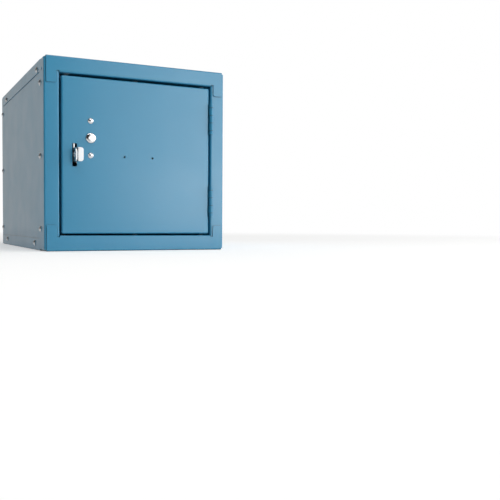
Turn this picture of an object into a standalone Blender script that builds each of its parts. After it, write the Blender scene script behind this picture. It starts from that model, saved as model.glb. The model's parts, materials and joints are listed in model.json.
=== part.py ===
"""Cube locker of folded sheet steel: welded door frame, bolted panels, hinged door, padlock strike.

Metres, +Z up. The door faces -Y and the hinges are on its +X side. Sizes below are measured from the
cabinet's left outer side (x), from the front of the frame (y, backwards) and from the base (z). One
empty carries that corner to the object's own origin, which is the middle of its footprint.
"""
import math

import bmesh
import bpy
from mathutils import Matrix, Vector

# Overall size of the cabinet
WIDTH = 0.3048
DEPTH = 0.4572
HEIGHT = 0.3048

# Sheet thicknesses and outer bend radii
FRAME_SHEET = 0.0015
PANEL_SHEET = 0.0008
LATCH_SHEET = 0.0020
STRIKE_SHEET = 0.0023
LEAF_SHEET = 0.0010
FRAME_BEND = 0.0025
PANEL_BEND = 0.0016
DOOR_BEND = 0.0024
LATCH_BEND = 0.0032

# Fit between pieces, and how far a cutter runs past what it cuts
SEAT_GAP = 0.0003
OVERRUN = 0.0020

# Frame rails, top and bottom
RAIL_FACE = 0.0250
RAIL_INSET = 0.0035
FRAME_FLANGE = 0.0381
RAIL_RETURN = 0.0378
EAR_WIDTH = 0.0195
EAR_DROP = 0.0164
EAR_CORNER = 0.0035

# Frame stiles, latch side and hinge side
STILE_FACE = 0.0238
STOP_DEPTH = 0.0180
STOP_STEP = 0.0042
STILE_RETURN = 0.0300
STILE_REAR_REACH = 0.0045
SPARE_HOLE = 0.0050
SPARE_HOLE_DEPTH = 0.0175
SPARE_HOLE_DROP = 0.0190

# Outer pans, top and bottom
PAN_FLANGE = 0.0195
PAN_REAR_RELIEF = 0.0172
PAN_LIP_FRONT = 0.0140
PAN_LIP_INSET = 0.0250
PAN_LIP_SLIT = 0.0010

# Side panels, back panel and floor
SIDE_PANEL_START = 0.0050
BACK_FLANGE = 0.0200
FLOOR_CLEARANCE = 0.0005
FLOOR_HOLE = 0.0040
FLOOR_HOLE_PITCH = 0.0180
FLOOR_HOLE_DEPTH = 0.2386

# Door panel
DOOR_FRONT = 0.0010
DOOR_LATCH_GAP = 0.0033
DOOR_HINGE_GAP = 0.0036
DOOR_LOW_GAP = 0.0029
DOOR_HIGH_GAP = 0.0042
DOOR_FLANGE = 0.0160
DOOR_END_FLANGE = 0.0130
DOOR_LIP = 0.0095
DOOR_SLIT = 0.0006
HINGE_NOTCH = 0.0018
HINGE_NOTCH_DEPTH = 0.0040
HINGE_NOTCH_MARGIN = 0.0010
PLATE_HOLE = 0.0035
PLATE_HOLE_PITCH = 0.0476

# Strike bracket and latch plate
STRIKE_OFFSET = 0.0481
STRIKE_HEIGHT = 0.0631
STRIKE_FRONT = 0.0034
STRIKE_CORNER = 0.0030
TONGUE_HEIGHT = 0.0220
TONGUE_REACH = 0.0135
TONGUE_TOP_CORNER = 0.0075
TONGUE_LOW_CORNER = 0.0040
STRIKE_SLOT_WIDTH = 0.0090
STRIKE_SLOT_HEIGHT = 0.0260
STRIKE_SLOT_RISE = 0.0265
STRIKE_SLOT_DEPTH = 0.0170
WEB_CLEARANCE = 0.0008
SLOT_WIDTH = 0.0074
SLOT_HEIGHT = 0.0365
SLOT_CORNER = 0.0012
PULL_REACH = 0.0130
PULL_WIDTH = 0.0094
PULL_CORNER = 0.0040
PADLOCK_HOLE = 0.0095
PADLOCK_REACH = 0.0040
LATCH_PLATE_OFFSET = 0.0101
LATCH_PLATE_WIDTH = 0.0284
LATCH_PLATE_HEIGHT = 0.0794
LATCH_PLATE_DROP = 0.0129
LATCH_PLATE_CORNER = 0.0030

# Plate rivets and the plug in the unused lock hole
RIVET_PITCH = 0.0549
RIVET_HEAD = 0.0095
RIVET_HEAD_HEIGHT = 0.0024
RIVET_SHANK = 0.0048
RIVET_TAIL = 0.0072
RIVET_TAIL_HEIGHT = 0.0016
PLUG_HEAD = 0.0159
PLUG_HEAD_HEIGHT = 0.0022
PLUG_DIMPLE = 0.0076
PLUG_DIMPLE_DEPTH = 0.0008
PLUG_NECK = 0.0127
PLUG_RING = 0.0150
PLUG_RING_HEIGHT = 0.0018
PLUG_BORE = 0.0096

# Hinges
HINGE_DROP = 0.0812
HINGE_RISE = 0.0828
HINGE_LENGTH = 0.0520
KNUCKLE_RADIUS = 0.0032
KNUCKLE_SHARES = (0.125, 0.375, 0.625, 0.875)
KNUCKLE_GAP = 0.0006
AXIS_FORWARD = 0.0020
CURL_ANGLE = math.radians(300.0)
LEAF_END = 0.0160
LEAF_NOTCH = 0.0036
JOGGLE_START = 0.0024
JOGGLE_END = -0.0004
JOGGLE_BEND = 0.0014

# Bolts: dome head, shank and nut
BOLT_HEAD = 0.0100
BOLT_HEAD_HEIGHT = 0.0023
BOLT_SHANK = 0.0048
BOLT_HOLE = 0.0056
BOLT_END = 0.0014
NUT_WIDTH = 0.0085
NUT_HEIGHT = 0.0032

# Where the bolts sit: a depth is from the front, an inset from the rear or the side, a rise from the
# base and a drop from the top
FRONT_COLUMN_DEPTH = 0.0310
FRONT_COLUMN_RISE = 0.0350
FRONT_COLUMN_DROP = 0.0388
REAR_COLUMN_INSET = 0.0112
REAR_COLUMN_RISE = 0.0350
REAR_COLUMN_DROP = 0.0358
HIGH_STRIP_DROP = 0.0135
HIGH_STRIP_DEPTH = 0.0610
HIGH_STRIP_INSET = 0.0705
LOW_STRIP_RISE = 0.0115
LOW_STRIP_DEPTH = 0.0860
LOW_STRIP_INSET = 0.0752
RAIL_BOLT_DEPTH = 0.0215
RAIL_BOLT_INSET = 0.0335

# Door bumpers
HIGH_BUMPER = 0.0085
HIGH_BUMPER_LENGTH = 0.0085
HIGH_BUMPER_OFFSET = 0.0390
HIGH_BUMPER_DEPTH = 0.0245
LOW_BUMPER = 0.0060
LOW_BUMPER_LENGTH = 0.0137
LOW_BUMPER_DEPTH = 0.0225
LOW_BUMPER_DROP = 0.0144
BUMPER_SHANK = 0.0036
BUMPER_HOLE = 0.0044
BUMPER_BARB = 0.0050
BUMPER_BARB_HEIGHT = 0.0022

# How finely round shapes are divided
BEND_STEPS = 3
DOME_STEPS = 2
BOLT_STEPS = 12
ROUND_STEPS = 18
CURL_STEPS = 14
MERGE = 0.00001

# Faces that neighbouring pieces share, worked out from the sizes above
STILE_FRONT = FRAME_SHEET + SEAT_GAP
PANEL_OUT = FRAME_SHEET + SEAT_GAP
PAN_OUT = PANEL_OUT - SEAT_GAP - PANEL_SHEET
INNER_OUT = PANEL_OUT + PANEL_SHEET + SEAT_GAP
PANEL_LOW = FRAME_SHEET + SEAT_GAP
PANEL_HIGH = HEIGHT - PANEL_LOW
PANEL_REAR = DEPTH - PANEL_SHEET - SEAT_GAP
STILE_REAR_FACE = STILE_RETURN - FRAME_SHEET
RETURN_START = STILE_FACE + SEAT_GAP
DOOR_LEFT = STILE_FACE + DOOR_LATCH_GAP
DOOR_RIGHT = WIDTH - STILE_FACE - DOOR_HINGE_GAP
DOOR_LOW = RAIL_FACE + DOOR_LOW_GAP
DOOR_HIGH = HEIGHT - RAIL_FACE - DOOR_HIGH_GAP
DOOR_BACK = DOOR_FRONT + FRAME_SHEET
LATCH_LEVEL = HEIGHT / 2
WEB_LEFT = STRIKE_OFFSET + WEB_CLEARANCE
SLOT_RIGHT = WEB_LEFT + LATCH_SHEET + SEAT_GAP
SLOT_MIDDLE = SLOT_RIGHT - SLOT_WIDTH / 2
LATCH_REAR = DOOR_BACK + SEAT_GAP + LATCH_SHEET
LATCH_PLATE_LEFT = WEB_LEFT + LATCH_PLATE_OFFSET
LATCH_PLATE_RIGHT = LATCH_PLATE_LEFT + LATCH_PLATE_WIDTH
LATCH_PLATE_LOW = LATCH_LEVEL - LATCH_PLATE_DROP
RIVET_OFFSET = (LATCH_PLATE_LEFT + LATCH_PLATE_RIGHT) / 2
LEAF_OUT = DOOR_RIGHT + SEAT_GAP
FRAME_LEAF_OUT = WIDTH - STILE_FACE - SEAT_GAP - LEAF_SHEET
AXIS_X = LEAF_OUT + KNUCKLE_RADIUS
AXIS_Y = -AXIS_FORWARD
HINGE_LEVELS = (HEIGHT - HINGE_DROP, HINGE_RISE)
RAIL_BOLTS = (RAIL_BOLT_INSET, WIDTH / 2, WIDTH - RAIL_BOLT_INSET)

# Base colour, roughness and metallic value of each finish
FINISHES = {
    "blue_paint": ((0.045, 0.185, 0.300), 0.32, 0.0),
    "zinc_plate": ((0.620, 0.635, 0.650), 0.34, 1.0),
    "bright_chrome": ((0.780, 0.790, 0.800), 0.12, 1.0),
    "white_nylon": ((0.780, 0.770, 0.740), 0.45, 0.0),
}


def clear_scene():
    for old in list(bpy.data.objects):
        bpy.data.objects.remove(old, do_unlink=True)


def new_collection(name):
    collection = bpy.data.collections.new(name)
    bpy.context.scene.collection.children.link(collection)
    return collection


def new_material(piece, finish):
    colour, roughness, metallic = FINISHES[finish]
    material = bpy.data.materials.new(f"{piece}_{finish}")
    material.use_nodes = True
    shader = material.node_tree.nodes["Principled BSDF"]
    shader.inputs["Base Color"].default_value = (*colour, 1.0)
    shader.inputs["Roughness"].default_value = roughness
    shader.inputs["Metallic"].default_value = metallic
    return material


def new_empty(name, location, parent=None):
    empty = bpy.data.objects.new(name, None)
    empty.location = location
    empty.parent = parent
    PARTS.objects.link(empty)
    return empty


def place(name, mesh, location, parent, finish, rotation=(0.0, 0.0, 0.0)):
    """Put a mesh in the parts collection as one named piece."""
    piece = bpy.data.objects.new(name, mesh)
    piece.location = location
    piece.rotation_euler = rotation
    piece.parent = parent
    PARTS.objects.link(piece)
    if not mesh.materials:
        mesh.materials.append(new_material(name, finish))
    return piece


def to_mesh(name, bm, origin=(0.0, 0.0, 0.0)):
    """Turn a bmesh into a mesh whose own zero is at the given point."""
    bmesh.ops.translate(bm, verts=bm.verts, vec=-Vector(origin))
    mesh = bpy.data.meshes.new(name)
    bm.to_mesh(mesh)
    bm.free()
    return mesh


def smooth(mesh, angle=math.radians(38.0)):
    mesh.shade_smooth()
    mesh.set_sharp_from_angle(angle=angle)


# Folded sheet metal: a section with round bends, drawn along the piece, then given its thickness

def bent(corners, outer_radius, sheet, side):
    """Points of a section: straight runs joined by round bends.

    side is 1 where the metal lies left of the line and -1 where it lies right. A bend that turns
    towards the metal has the outer radius, and one that turns away has the inner radius.
    """
    points = [Vector(corners[0])]
    for before, corner, after in zip(corners, corners[1:], corners[2:]):
        before, corner, after = Vector(before), Vector(corner), Vector(after)
        back = (before - corner).normalized()
        ahead = (after - corner).normalized()
        turn = -back.x * ahead.y + back.y * ahead.x
        radius = outer_radius if turn * side > 0 else outer_radius - sheet
        half = back.angle(ahead) / 2
        centre = corner + (back + ahead).normalized() * radius / math.sin(half)
        start = corner + back * radius / math.tan(half) - centre
        sweep = math.copysign(math.pi - 2 * half, turn)
        for step in range(BEND_STEPS + 1):
            points.append(centre + Matrix.Rotation(sweep * step / BEND_STEPS, 2) @ start)
    points.append(Vector(corners[-1]))
    return points


PLANES = {
    "XY": lambda a, b, s: Vector((a, b, s)),
    "XZ": lambda a, b, s: Vector((a, s, b)),
    "YZ": lambda a, b, s: Vector((s, a, b)),
}


def draw_along(section, plane, stations):
    """Open surface made by extruding a section through the stations."""
    bm = bmesh.new()
    at = PLANES[plane]
    verts = [bm.verts.new(at(a, b, stations[0])) for a, b in section]
    edges = [bm.edges.new(pair) for pair in zip(verts, verts[1:])]
    for start, end in zip(stations, stations[1:]):
        edges = extend(bm, edges, at(0.0, 0.0, end - start))
    return bm


def extend(bm, edges, step):
    """Extrude edges by one step and give the new edges back."""
    grown = bmesh.ops.extrude_edge_only(bm, edges=edges)["geom"]
    verts = [item for item in grown if isinstance(item, bmesh.types.BMVert)]
    bmesh.ops.translate(bm, verts=verts, vec=step)
    return [item for item in grown
            if isinstance(item, bmesh.types.BMEdge) and all(vert in verts for vert in item.verts)]


def sweep_edges(bm, edges, plane, path):
    """Extrude edges along a path of section points."""
    at = PLANES[plane]
    for here, there in zip(path, path[1:]):
        step = at(there[0] - here[0], there[1] - here[1], 0.0)
        if step.length > MERGE:
            edges = extend(bm, edges, step)
    return edges


def middle(item):
    return sum((v.co for v in item.verts), Vector()) / len(item.verts)


def rim_edges(bm, wanted):
    """Boundary edges whose middle passes a test."""
    return [edge for edge in bm.edges if edge.is_boundary and wanted(middle(edge))]


def drop_faces(bm, unwanted):
    faces = [face for face in bm.faces if unwanted(middle(face))]
    bmesh.ops.delete(bm, geom=faces, context="FACES")


def round_corner(bm, near, radius):
    """Round one free corner of an open sheet."""
    corner = min(bm.verts, key=lambda vert: (vert.co - Vector(near)).length)
    bmesh.ops.bevel(bm, geom=[corner], offset=radius, offset_type="OFFSET", segments=BEND_STEPS,
                    profile=0.5, affect="VERTICES")


def face_outwards(bm, outward):
    """Turn all faces the same way, with the largest one towards a direction."""
    bmesh.ops.recalc_face_normals(bm, faces=bm.faces)
    largest = max(bm.faces, key=lambda face: face.calc_area())
    if largest.normal.dot(Vector(outward)) < 0:
        bmesh.ops.reverse_faces(bm, faces=bm.faces)


def thicken(piece, sheet):
    """Give an open surface its sheet thickness, on the inner side."""
    solid = piece.modifiers.new("sheet", "SOLIDIFY")
    solid.thickness = sheet
    solid.offset = -1.0
    solid.use_even_offset = True
    solid.use_quality_normals = True
    return piece


def mirror_half(piece):
    twin = piece.modifiers.new("other half", "MIRROR")
    twin.use_axis = (True, False, False)
    twin.merge_threshold = MERGE
    return piece


def blank(low, high):
    """A box between two corners."""
    low, high = Vector(low), Vector(high)
    bm = bmesh.new()
    bmesh.ops.create_cube(bm, size=1.0)
    bmesh.ops.scale(bm, verts=bm.verts, vec=high - low)
    bmesh.ops.translate(bm, verts=bm.verts, vec=(low + high) / 2)
    return bm


# Cutters

def add_cutter(name, bm):
    cutter = bpy.data.objects.new(name, to_mesh(name, bm))
    cutter.parent = CABINET
    cutter.display_type = "WIRE"
    cutter.hide_render = True
    CUTTERS.objects.link(cutter)
    return cutter


def cut(piece, cutter):
    boolean = piece.modifiers.new(cutter.name, "BOOLEAN")
    boolean.operation = "DIFFERENCE"
    boolean.solver = "EXACT"
    boolean.object = cutter


def round_holes(name, places, axis, diameter, length, steps=ROUND_STEPS):
    """One cutter with a round bar at each place, along an axis, with its flats square to the sheets."""
    turn = Vector((0.0, 0.0, 1.0)).rotation_difference(Vector(axis)).to_matrix().to_4x4()
    turn = turn @ Matrix.Rotation(math.pi / steps, 4, "Z")
    bm = bmesh.new()
    for spot in places:
        bmesh.ops.create_cone(bm, cap_ends=True, segments=steps, radius1=diameter / 2, radius2=diameter / 2,
                              depth=length, matrix=Matrix.Translation(spot) @ turn)
    return add_cutter(name, bm)


def round_slot(name, centre, size, through, corner):
    """One cutter for an upright slot with rounded corners, cut along X or Y."""
    span = [size[0], size[0], size[1]]
    span[through] = size[2]
    half = Vector(span) / 2
    bm = blank(Vector(centre) - half, Vector(centre) + half)
    along = [edge for edge in bm.edges
             if abs((edge.verts[0].co - edge.verts[1].co)[through]) > span[through] / 2]
    bmesh.ops.bevel(bm, geom=along, offset=corner, offset_type="OFFSET", segments=BEND_STEPS,
                    profile=0.5, affect="EDGES")
    return add_cutter(name, bm)


# Turned pieces: a profile of radius and height, taken round by a Screw modifier

def dome(radius, height, base):
    """Profile of a dome from its top to its rim."""
    ball = (radius ** 2 + height ** 2) / (2 * height)
    reach = math.asin(radius / ball)
    angles = [reach * step / DOME_STEPS for step in range(DOME_STEPS + 1)]
    return [(ball * math.sin(angle), base + height - ball * (1 - math.cos(angle))) for angle in angles]


def turned(name, profile, steps):
    """Mesh of a turned piece; the profile runs from the top centre down the outer side."""
    mesh = bpy.data.meshes.new(name)
    bm = bmesh.new()
    verts = [bm.verts.new((radius, 0.0, height)) for radius, height in profile]
    for pair in zip(verts, verts[1:]):
        bm.edges.new(pair)
    bm.to_mesh(mesh)
    bm.free()
    helper = bpy.data.objects.new(name, mesh)
    CUTTERS.objects.link(helper)
    screw = helper.modifiers.new("turn", "SCREW")
    screw.axis = "Z"
    screw.steps = steps
    screw.render_steps = steps
    screw.use_merge_vertices = True
    screw.merge_threshold = MERGE
    return helper


def finished(helper):
    """The evaluated mesh of a helper object, which is then removed."""
    bpy.context.view_layer.update()
    mesh = bpy.data.meshes.new_from_object(helper.evaluated_get(bpy.context.evaluated_depsgraph_get()))
    bpy.data.objects.remove(helper, do_unlink=True)
    smooth(mesh)
    return mesh


def bolt_mesh(stack):
    """Dome-headed bolt with its nut, for a stack of sheets; the head's underside is at zero."""
    end = stack + NUT_HEIGHT + BOLT_END
    profile = dome(BOLT_HEAD / 2, BOLT_HEAD_HEIGHT, 0.0)
    profile += [(BOLT_SHANK / 2, 0.0), (BOLT_SHANK / 2, -end), (0.0, -end)]
    helper = turned("bolt", profile, BOLT_STEPS)
    nut = bmesh.new()
    bmesh.ops.create_cone(nut, cap_ends=True, segments=6, radius1=NUT_WIDTH / math.sqrt(3),
                          radius2=NUT_WIDTH / math.sqrt(3), depth=NUT_HEIGHT,
                          matrix=Matrix.Translation((0.0, 0.0, -stack - NUT_HEIGHT / 2)))
    nut_piece = bpy.data.objects.new("nut", to_mesh("nut", nut))
    CUTTERS.objects.link(nut_piece)
    union = helper.modifiers.new("nut", "BOOLEAN")
    union.operation = "UNION"
    union.solver = "EXACT"
    union.object = nut_piece
    mesh = finished(helper)
    bpy.data.objects.remove(nut_piece, do_unlink=True)
    return mesh


def stack_of(*sheets):
    """Length from under a bolt's head to its nut, past sheets that keep the seat gap."""
    return sum(sheets) + SEAT_GAP * (len(sheets) + 1)


# Frame

def make_rail(name, level, turn, holes):
    """One rail: outer flange, face with two ears, and the return flange behind the door."""
    section = bent([(FRAME_FLANGE, 0.0), (0.0, 0.0), (0.0, -RAIL_FACE), (RAIL_RETURN, -RAIL_FACE)],
                   FRAME_BEND, FRAME_SHEET, 1)
    places = (RAIL_INSET, EAR_WIDTH, RETURN_START, WIDTH / 2)
    bm = draw_along(section, "YZ", [spot - WIDTH / 2 for spot in places])
    fold = FRAME_BEND - RAIL_FACE
    drop_faces(bm, lambda at: at.x < RETURN_START - WIDTH / 2 and at.z < fold)
    ear = rim_edges(bm, lambda at: abs(at.z - fold) < MERGE and RAIL_INSET < at.x + WIDTH / 2 < EAR_WIDTH)
    extend(bm, ear, (0.0, 0.0, -EAR_DROP - FRAME_BEND))
    round_corner(bm, (EAR_WIDTH - WIDTH / 2, 0.0, -RAIL_FACE - EAR_DROP), EAR_CORNER)
    face_outwards(bm, (0.0, 0.0, 1.0))
    mesh = to_mesh(name, bm)
    rail = place(name, mesh, (WIDTH / 2, 0.0, level), CABINET, "blue_paint", turn)
    mirror_half(rail)
    thicken(rail, FRAME_SHEET)
    cut(rail, holes)
    return rail


def make_stile(name, location, turn, side_holes):
    """One stile: side flange, face, return, door stop and rear flange, cleared at both rails."""
    section = bent([(0.0, FRAME_FLANGE), (0.0, STILE_FRONT), (STILE_FACE, STILE_FRONT),
                    (STILE_FACE, STOP_DEPTH), (STILE_FACE + STOP_STEP, STOP_DEPTH),
                    (STILE_FACE + STOP_STEP, STILE_REAR_FACE),
                    (STILE_FACE + STOP_STEP + STILE_REAR_REACH, STILE_REAR_FACE)],
                   FRAME_BEND, FRAME_SHEET, 1)
    ends = (FRAME_BEND + SEAT_GAP, HEIGHT - FRAME_BEND - SEAT_GAP)
    clear = (RAIL_FACE + SEAT_GAP, HEIGHT - RAIL_FACE - SEAT_GAP)
    bm = draw_along(section, "XY", (ends[0], clear[0], clear[1], ends[1]))
    stop = STOP_DEPTH - FRAME_BEND + FRAME_SHEET
    drop_faces(bm, lambda at: at.x > EAR_WIDTH and at.y > stop and not clear[0] < at.z < clear[1])
    face_outwards(bm, (-1.0, 0.0, 0.0))
    stile = place(name, to_mesh(name, bm), location, CABINET, "blue_paint", turn)
    thicken(stile, FRAME_SHEET)
    for holes in side_holes:
        cut(stile, holes)
    return stile


# Panels

def make_side_panel(name, outer, inner, holes):
    """Flat side sheet, drilled for every side bolt."""
    low = (min(outer, inner), SIDE_PANEL_START, PANEL_LOW)
    high = (max(outer, inner), PANEL_REAR, PANEL_HIGH)
    origin = (outer, SIDE_PANEL_START, PANEL_LOW)
    panel = place(name, to_mesh(name, blank(low, high), origin), origin, CABINET, "blue_paint")
    cut(panel, holes)
    return panel


def make_pan(name, level, turn, cutters):
    """Outer pan, level with the frame: side and rear flanges, and a front lip bolted to the rail."""
    left = PAN_OUT - WIDTH / 2
    section = bent([(left, -PAN_FLANGE), (left, 0.0), (0.0, 0.0)], PANEL_BEND, PANEL_SHEET, -1)
    lip_end = PAN_LIP_INSET - WIDTH / 2
    section[-1:-1] = [Vector((lip_end, 0.0)), Vector((lip_end + PAN_LIP_SLIT, 0.0))]
    fold = FRAME_FLANGE + SEAT_GAP
    front = fold + PANEL_BEND
    flange_rear = DEPTH - PAN_REAR_RELIEF
    rear = DEPTH - PANEL_BEND
    bm = draw_along(section, "XZ", (fold, front, flange_rear, rear))
    drop_faces(bm, lambda at: at.x > lip_end and at.y < front)
    drop_faces(bm, lambda at: at.x < left + PANEL_BEND and at.y > flange_rear)
    lip_level = -RAIL_FACE + FRAME_SHEET + SEAT_GAP + PANEL_SHEET
    lip = rim_edges(bm, lambda at: abs(at.y - front) < MERGE and at.x > lip_end + PAN_LIP_SLIT)
    sweep_edges(bm, lip, "YZ", bent([(front, 0.0), (fold, 0.0), (fold, lip_level), (PAN_LIP_FRONT, lip_level)],
                                    PANEL_BEND, PANEL_SHEET, 1))
    back = rim_edges(bm, lambda at: abs(at.y - rear) < MERGE)
    sweep_edges(bm, back, "YZ", bent([(rear, 0.0), (DEPTH, 0.0), (DEPTH, -PAN_FLANGE)],
                                     PANEL_BEND, PANEL_SHEET, -1))
    face_outwards(bm, (0.0, 0.0, 1.0))
    pan = place(name, to_mesh(name, bm), (WIDTH / 2, 0.0, level), CABINET, "blue_paint", turn)
    mirror_half(pan)
    thicken(pan, PANEL_SHEET)
    for cutter in cutters:
        cut(pan, cutter)
    return pan


def make_floor_panel(cutters):
    """Raised floor, level with the rail's return flange, on two side flanges."""
    section = bent([(INNER_OUT, PANEL_LOW), (INNER_OUT, RAIL_FACE), (WIDTH - INNER_OUT, RAIL_FACE),
                    (WIDTH - INNER_OUT, PANEL_LOW)], PANEL_BEND, PANEL_SHEET, -1)
    front = RAIL_RETURN + FLOOR_CLEARANCE
    flange_rear = PANEL_REAR - BACK_FLANGE - SEAT_GAP
    rear = PANEL_REAR - PANEL_SHEET - SEAT_GAP
    bm = draw_along(section, "XZ", (front, flange_rear, rear))
    drop_faces(bm, lambda at: at.y > flange_rear and at.z < RAIL_FACE - MERGE)
    face_outwards(bm, (0.0, 0.0, 1.0))
    floor = place("floor_panel", to_mesh("floor_panel", bm), (0.0, 0.0, 0.0), CABINET, "blue_paint")
    thicken(floor, PANEL_SHEET)
    for cutter in cutters:
        cut(floor, cutter)
    return floor


def make_back_panel(holes):
    """Back sheet with a forward flange along each side, standing above the floor."""
    flange_front = PANEL_REAR - BACK_FLANGE
    section = bent([(INNER_OUT, flange_front), (INNER_OUT, PANEL_REAR), (WIDTH - INNER_OUT, PANEL_REAR),
                    (WIDTH - INNER_OUT, flange_front)], PANEL_BEND, PANEL_SHEET, -1)
    flange_low = RAIL_FACE + SEAT_GAP
    bm = draw_along(section, "XY", (PANEL_LOW, flange_low, PANEL_HIGH))
    drop_faces(bm, lambda at: at.z < flange_low and at.y < PANEL_REAR - MERGE)
    face_outwards(bm, (0.0, 1.0, 0.0))
    back = place("back_panel", to_mesh("back_panel", bm), (0.0, 0.0, 0.0), CABINET, "blue_paint")
    thicken(back, PANEL_SHEET)
    cut(back, holes)
    return back


# Door and what rides on it

def on_door(bm, name):
    """Mesh of a door piece, with its zero on the hinge axis at the base."""
    return to_mesh(name, bm, (AXIS_X, AXIS_Y, 0.0))


def make_door_panel(cutters):
    """Door pan: flanges on four sides, and a stiffening lip along the latch side."""
    bm = bmesh.new()
    bmesh.ops.create_grid(bm, x_segments=1, y_segments=1, size=0.5,
                          matrix=Matrix.Rotation(math.radians(90.0), 4, "X"))
    bmesh.ops.scale(bm, verts=bm.verts, vec=(DOOR_RIGHT - DOOR_LEFT, 1.0, DOOR_HIGH - DOOR_LOW))
    bmesh.ops.translate(bm, verts=bm.verts,
                        vec=((DOOR_LEFT + DOOR_RIGHT) / 2, DOOR_FRONT, (DOOR_LOW + DOOR_HIGH) / 2))
    front = list(bm.edges)
    extend(bm, front, (0.0, DOOR_END_FLANGE, 0.0))
    folds = [edge for edge in bm.edges if not edge.is_boundary]
    bmesh.ops.bevel(bm, geom=folds, offset=DOOR_BEND, offset_type="OFFSET", segments=BEND_STEPS,
                    profile=0.5, affect="EDGES")
    rim = DOOR_FRONT + DOOR_END_FLANGE
    rear = DOOR_FRONT + DOOR_FLANGE
    latch = rim_edges(bm, lambda at: abs(at.x - DOOR_LEFT) < MERGE)
    sweep_edges(bm, latch, "XY", bent([(DOOR_LEFT, rim), (DOOR_LEFT, rear), (DOOR_LEFT + DOOR_LIP, rear)],
                                      DOOR_BEND, FRAME_SHEET, -1))
    hinge = rim_edges(bm, lambda at: abs(at.x - DOOR_RIGHT) < MERGE)
    extend(bm, hinge, (0.0, rear - rim, 0.0))
    face_outwards(bm, (0.0, -1.0, 0.0))
    door = place("door_panel", on_door(bm, "door_panel"), (0.0, 0.0, 0.0), DOOR, "blue_paint")
    thicken(door, FRAME_SHEET)
    for cutter in cutters:
        cut(door, cutter)
    return door


def door_slits():
    """One cutter for the open joints between the door's flanges at its four corners."""
    bm = bmesh.new()
    front = DOOR_FRONT + DOOR_BEND
    rear = DOOR_FRONT + DOOR_FLANGE + OVERRUN
    for x in (DOOR_LEFT + DOOR_BEND, DOOR_RIGHT - DOOR_BEND):
        for edge, inner in ((DOOR_LOW, DOOR_LOW + DOOR_BEND), (DOOR_HIGH, DOOR_HIGH - DOOR_BEND)):
            outer = edge + math.copysign(OVERRUN, edge - inner)
            slit = blank((x - DOOR_SLIT / 2, front, min(outer, inner)),
                         (x + DOOR_SLIT / 2, rear, max(outer, inner)))
            piece = bpy.data.meshes.new("slit")
            slit.to_mesh(piece)
            slit.free()
            bm.from_mesh(piece)
            bpy.data.meshes.remove(piece)
    return add_cutter("door_slits", bm)


def hinge_notch(name, level):
    """Cutter that sets the door's hinge edge back beside one hinge."""
    half = HINGE_LENGTH / 2 + HINGE_NOTCH_MARGIN
    return add_cutter(name, blank((DOOR_RIGHT - HINGE_NOTCH, DOOR_FRONT - OVERRUN, level - half),
                                  (DOOR_RIGHT + OVERRUN, HINGE_NOTCH_DEPTH, level + half)))


def make_latch_plate(cutters):
    """Latch plate: flat behind the door, a web through the slot, and the finger pull outside."""
    bottom, top = LATCH_LEVEL - TONGUE_HEIGHT / 2, LATCH_LEVEL + TONGUE_HEIGHT / 2
    section = bent([(LATCH_PLATE_RIGHT, LATCH_REAR), (WEB_LEFT, LATCH_REAR), (WEB_LEFT, -PULL_REACH),
                    (WEB_LEFT + PULL_WIDTH, -PULL_REACH)], LATCH_BEND, LATCH_SHEET, -1)
    section.insert(1, Vector((LATCH_PLATE_LEFT, LATCH_REAR)))
    bm = draw_along(section, "XY", (LATCH_PLATE_LOW, bottom, top, LATCH_PLATE_LOW + LATCH_PLATE_HEIGHT))
    fold = WEB_LEFT + LATCH_BEND
    drop_faces(bm, lambda at: at.x < LATCH_PLATE_LEFT and at.z > top)
    drop_faces(bm, lambda at: (at.x < fold or at.y < DOOR_FRONT) and at.z < bottom)
    for level in (bottom, top):
        round_corner(bm, (WEB_LEFT + PULL_WIDTH, -PULL_REACH, level), PULL_CORNER)
    for level in (LATCH_PLATE_LOW, LATCH_PLATE_LOW + LATCH_PLATE_HEIGHT):
        round_corner(bm, (LATCH_PLATE_RIGHT, LATCH_REAR, level), LATCH_PLATE_CORNER)
    face_outwards(bm, (0.0, 1.0, 0.0))
    plate = place("latch_plate", on_door(bm, "latch_plate"), (0.0, 0.0, 0.0), DOOR, "zinc_plate")
    thicken(plate, LATCH_SHEET)
    for cutter in cutters:
        cut(plate, cutter)
    return plate


def clinched(name, head, neck, tail, dimple=None, bore=0.0):
    """Rivet or plug: a dome head, a neck through the sheets and a formed tail behind them."""
    (head_width, head_height), (tail_width, tail_height) = head, tail
    grip = FRAME_SHEET + LATCH_SHEET + 3 * SEAT_GAP
    profile = dome(head_width / 2, head_height, 0.0)
    if dimple:
        width, depth = dimple
        profile = [(0.0, head_height - depth), (width / 2 - depth, head_height - depth),
                   (width / 2, head_height)]
        profile += [(head_width / 2 - head_height / 2, head_height), (head_width / 2, head_height / 2),
                    (head_width / 2, 0.0)]
    profile += [(neck / 2, 0.0), (neck / 2, -grip)]
    profile += [(tail_width / 2, -grip), (tail_width / 2, -grip - tail_height / 2),
                (tail_width / 2 - tail_height / 2, -grip - tail_height)]
    if bore:
        profile += [(bore / 2, -grip - tail_height), (bore / 2, -grip)]
        profile += [(0.0, -grip)]
    else:
        profile += [(0.0, -grip - tail_height)]
    return finished(turned(name, profile, ROUND_STEPS))


def place_on_door(name, mesh, x, z, finish):
    """A clinched piece, head forwards, on the door at a place of the latch plate."""
    location = (x - AXIS_X, DOOR_FRONT - SEAT_GAP - AXIS_Y, z)
    return place(name, mesh, location, DOOR, finish, (math.radians(90.0), 0.0, 0.0))


# Strike bracket

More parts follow.
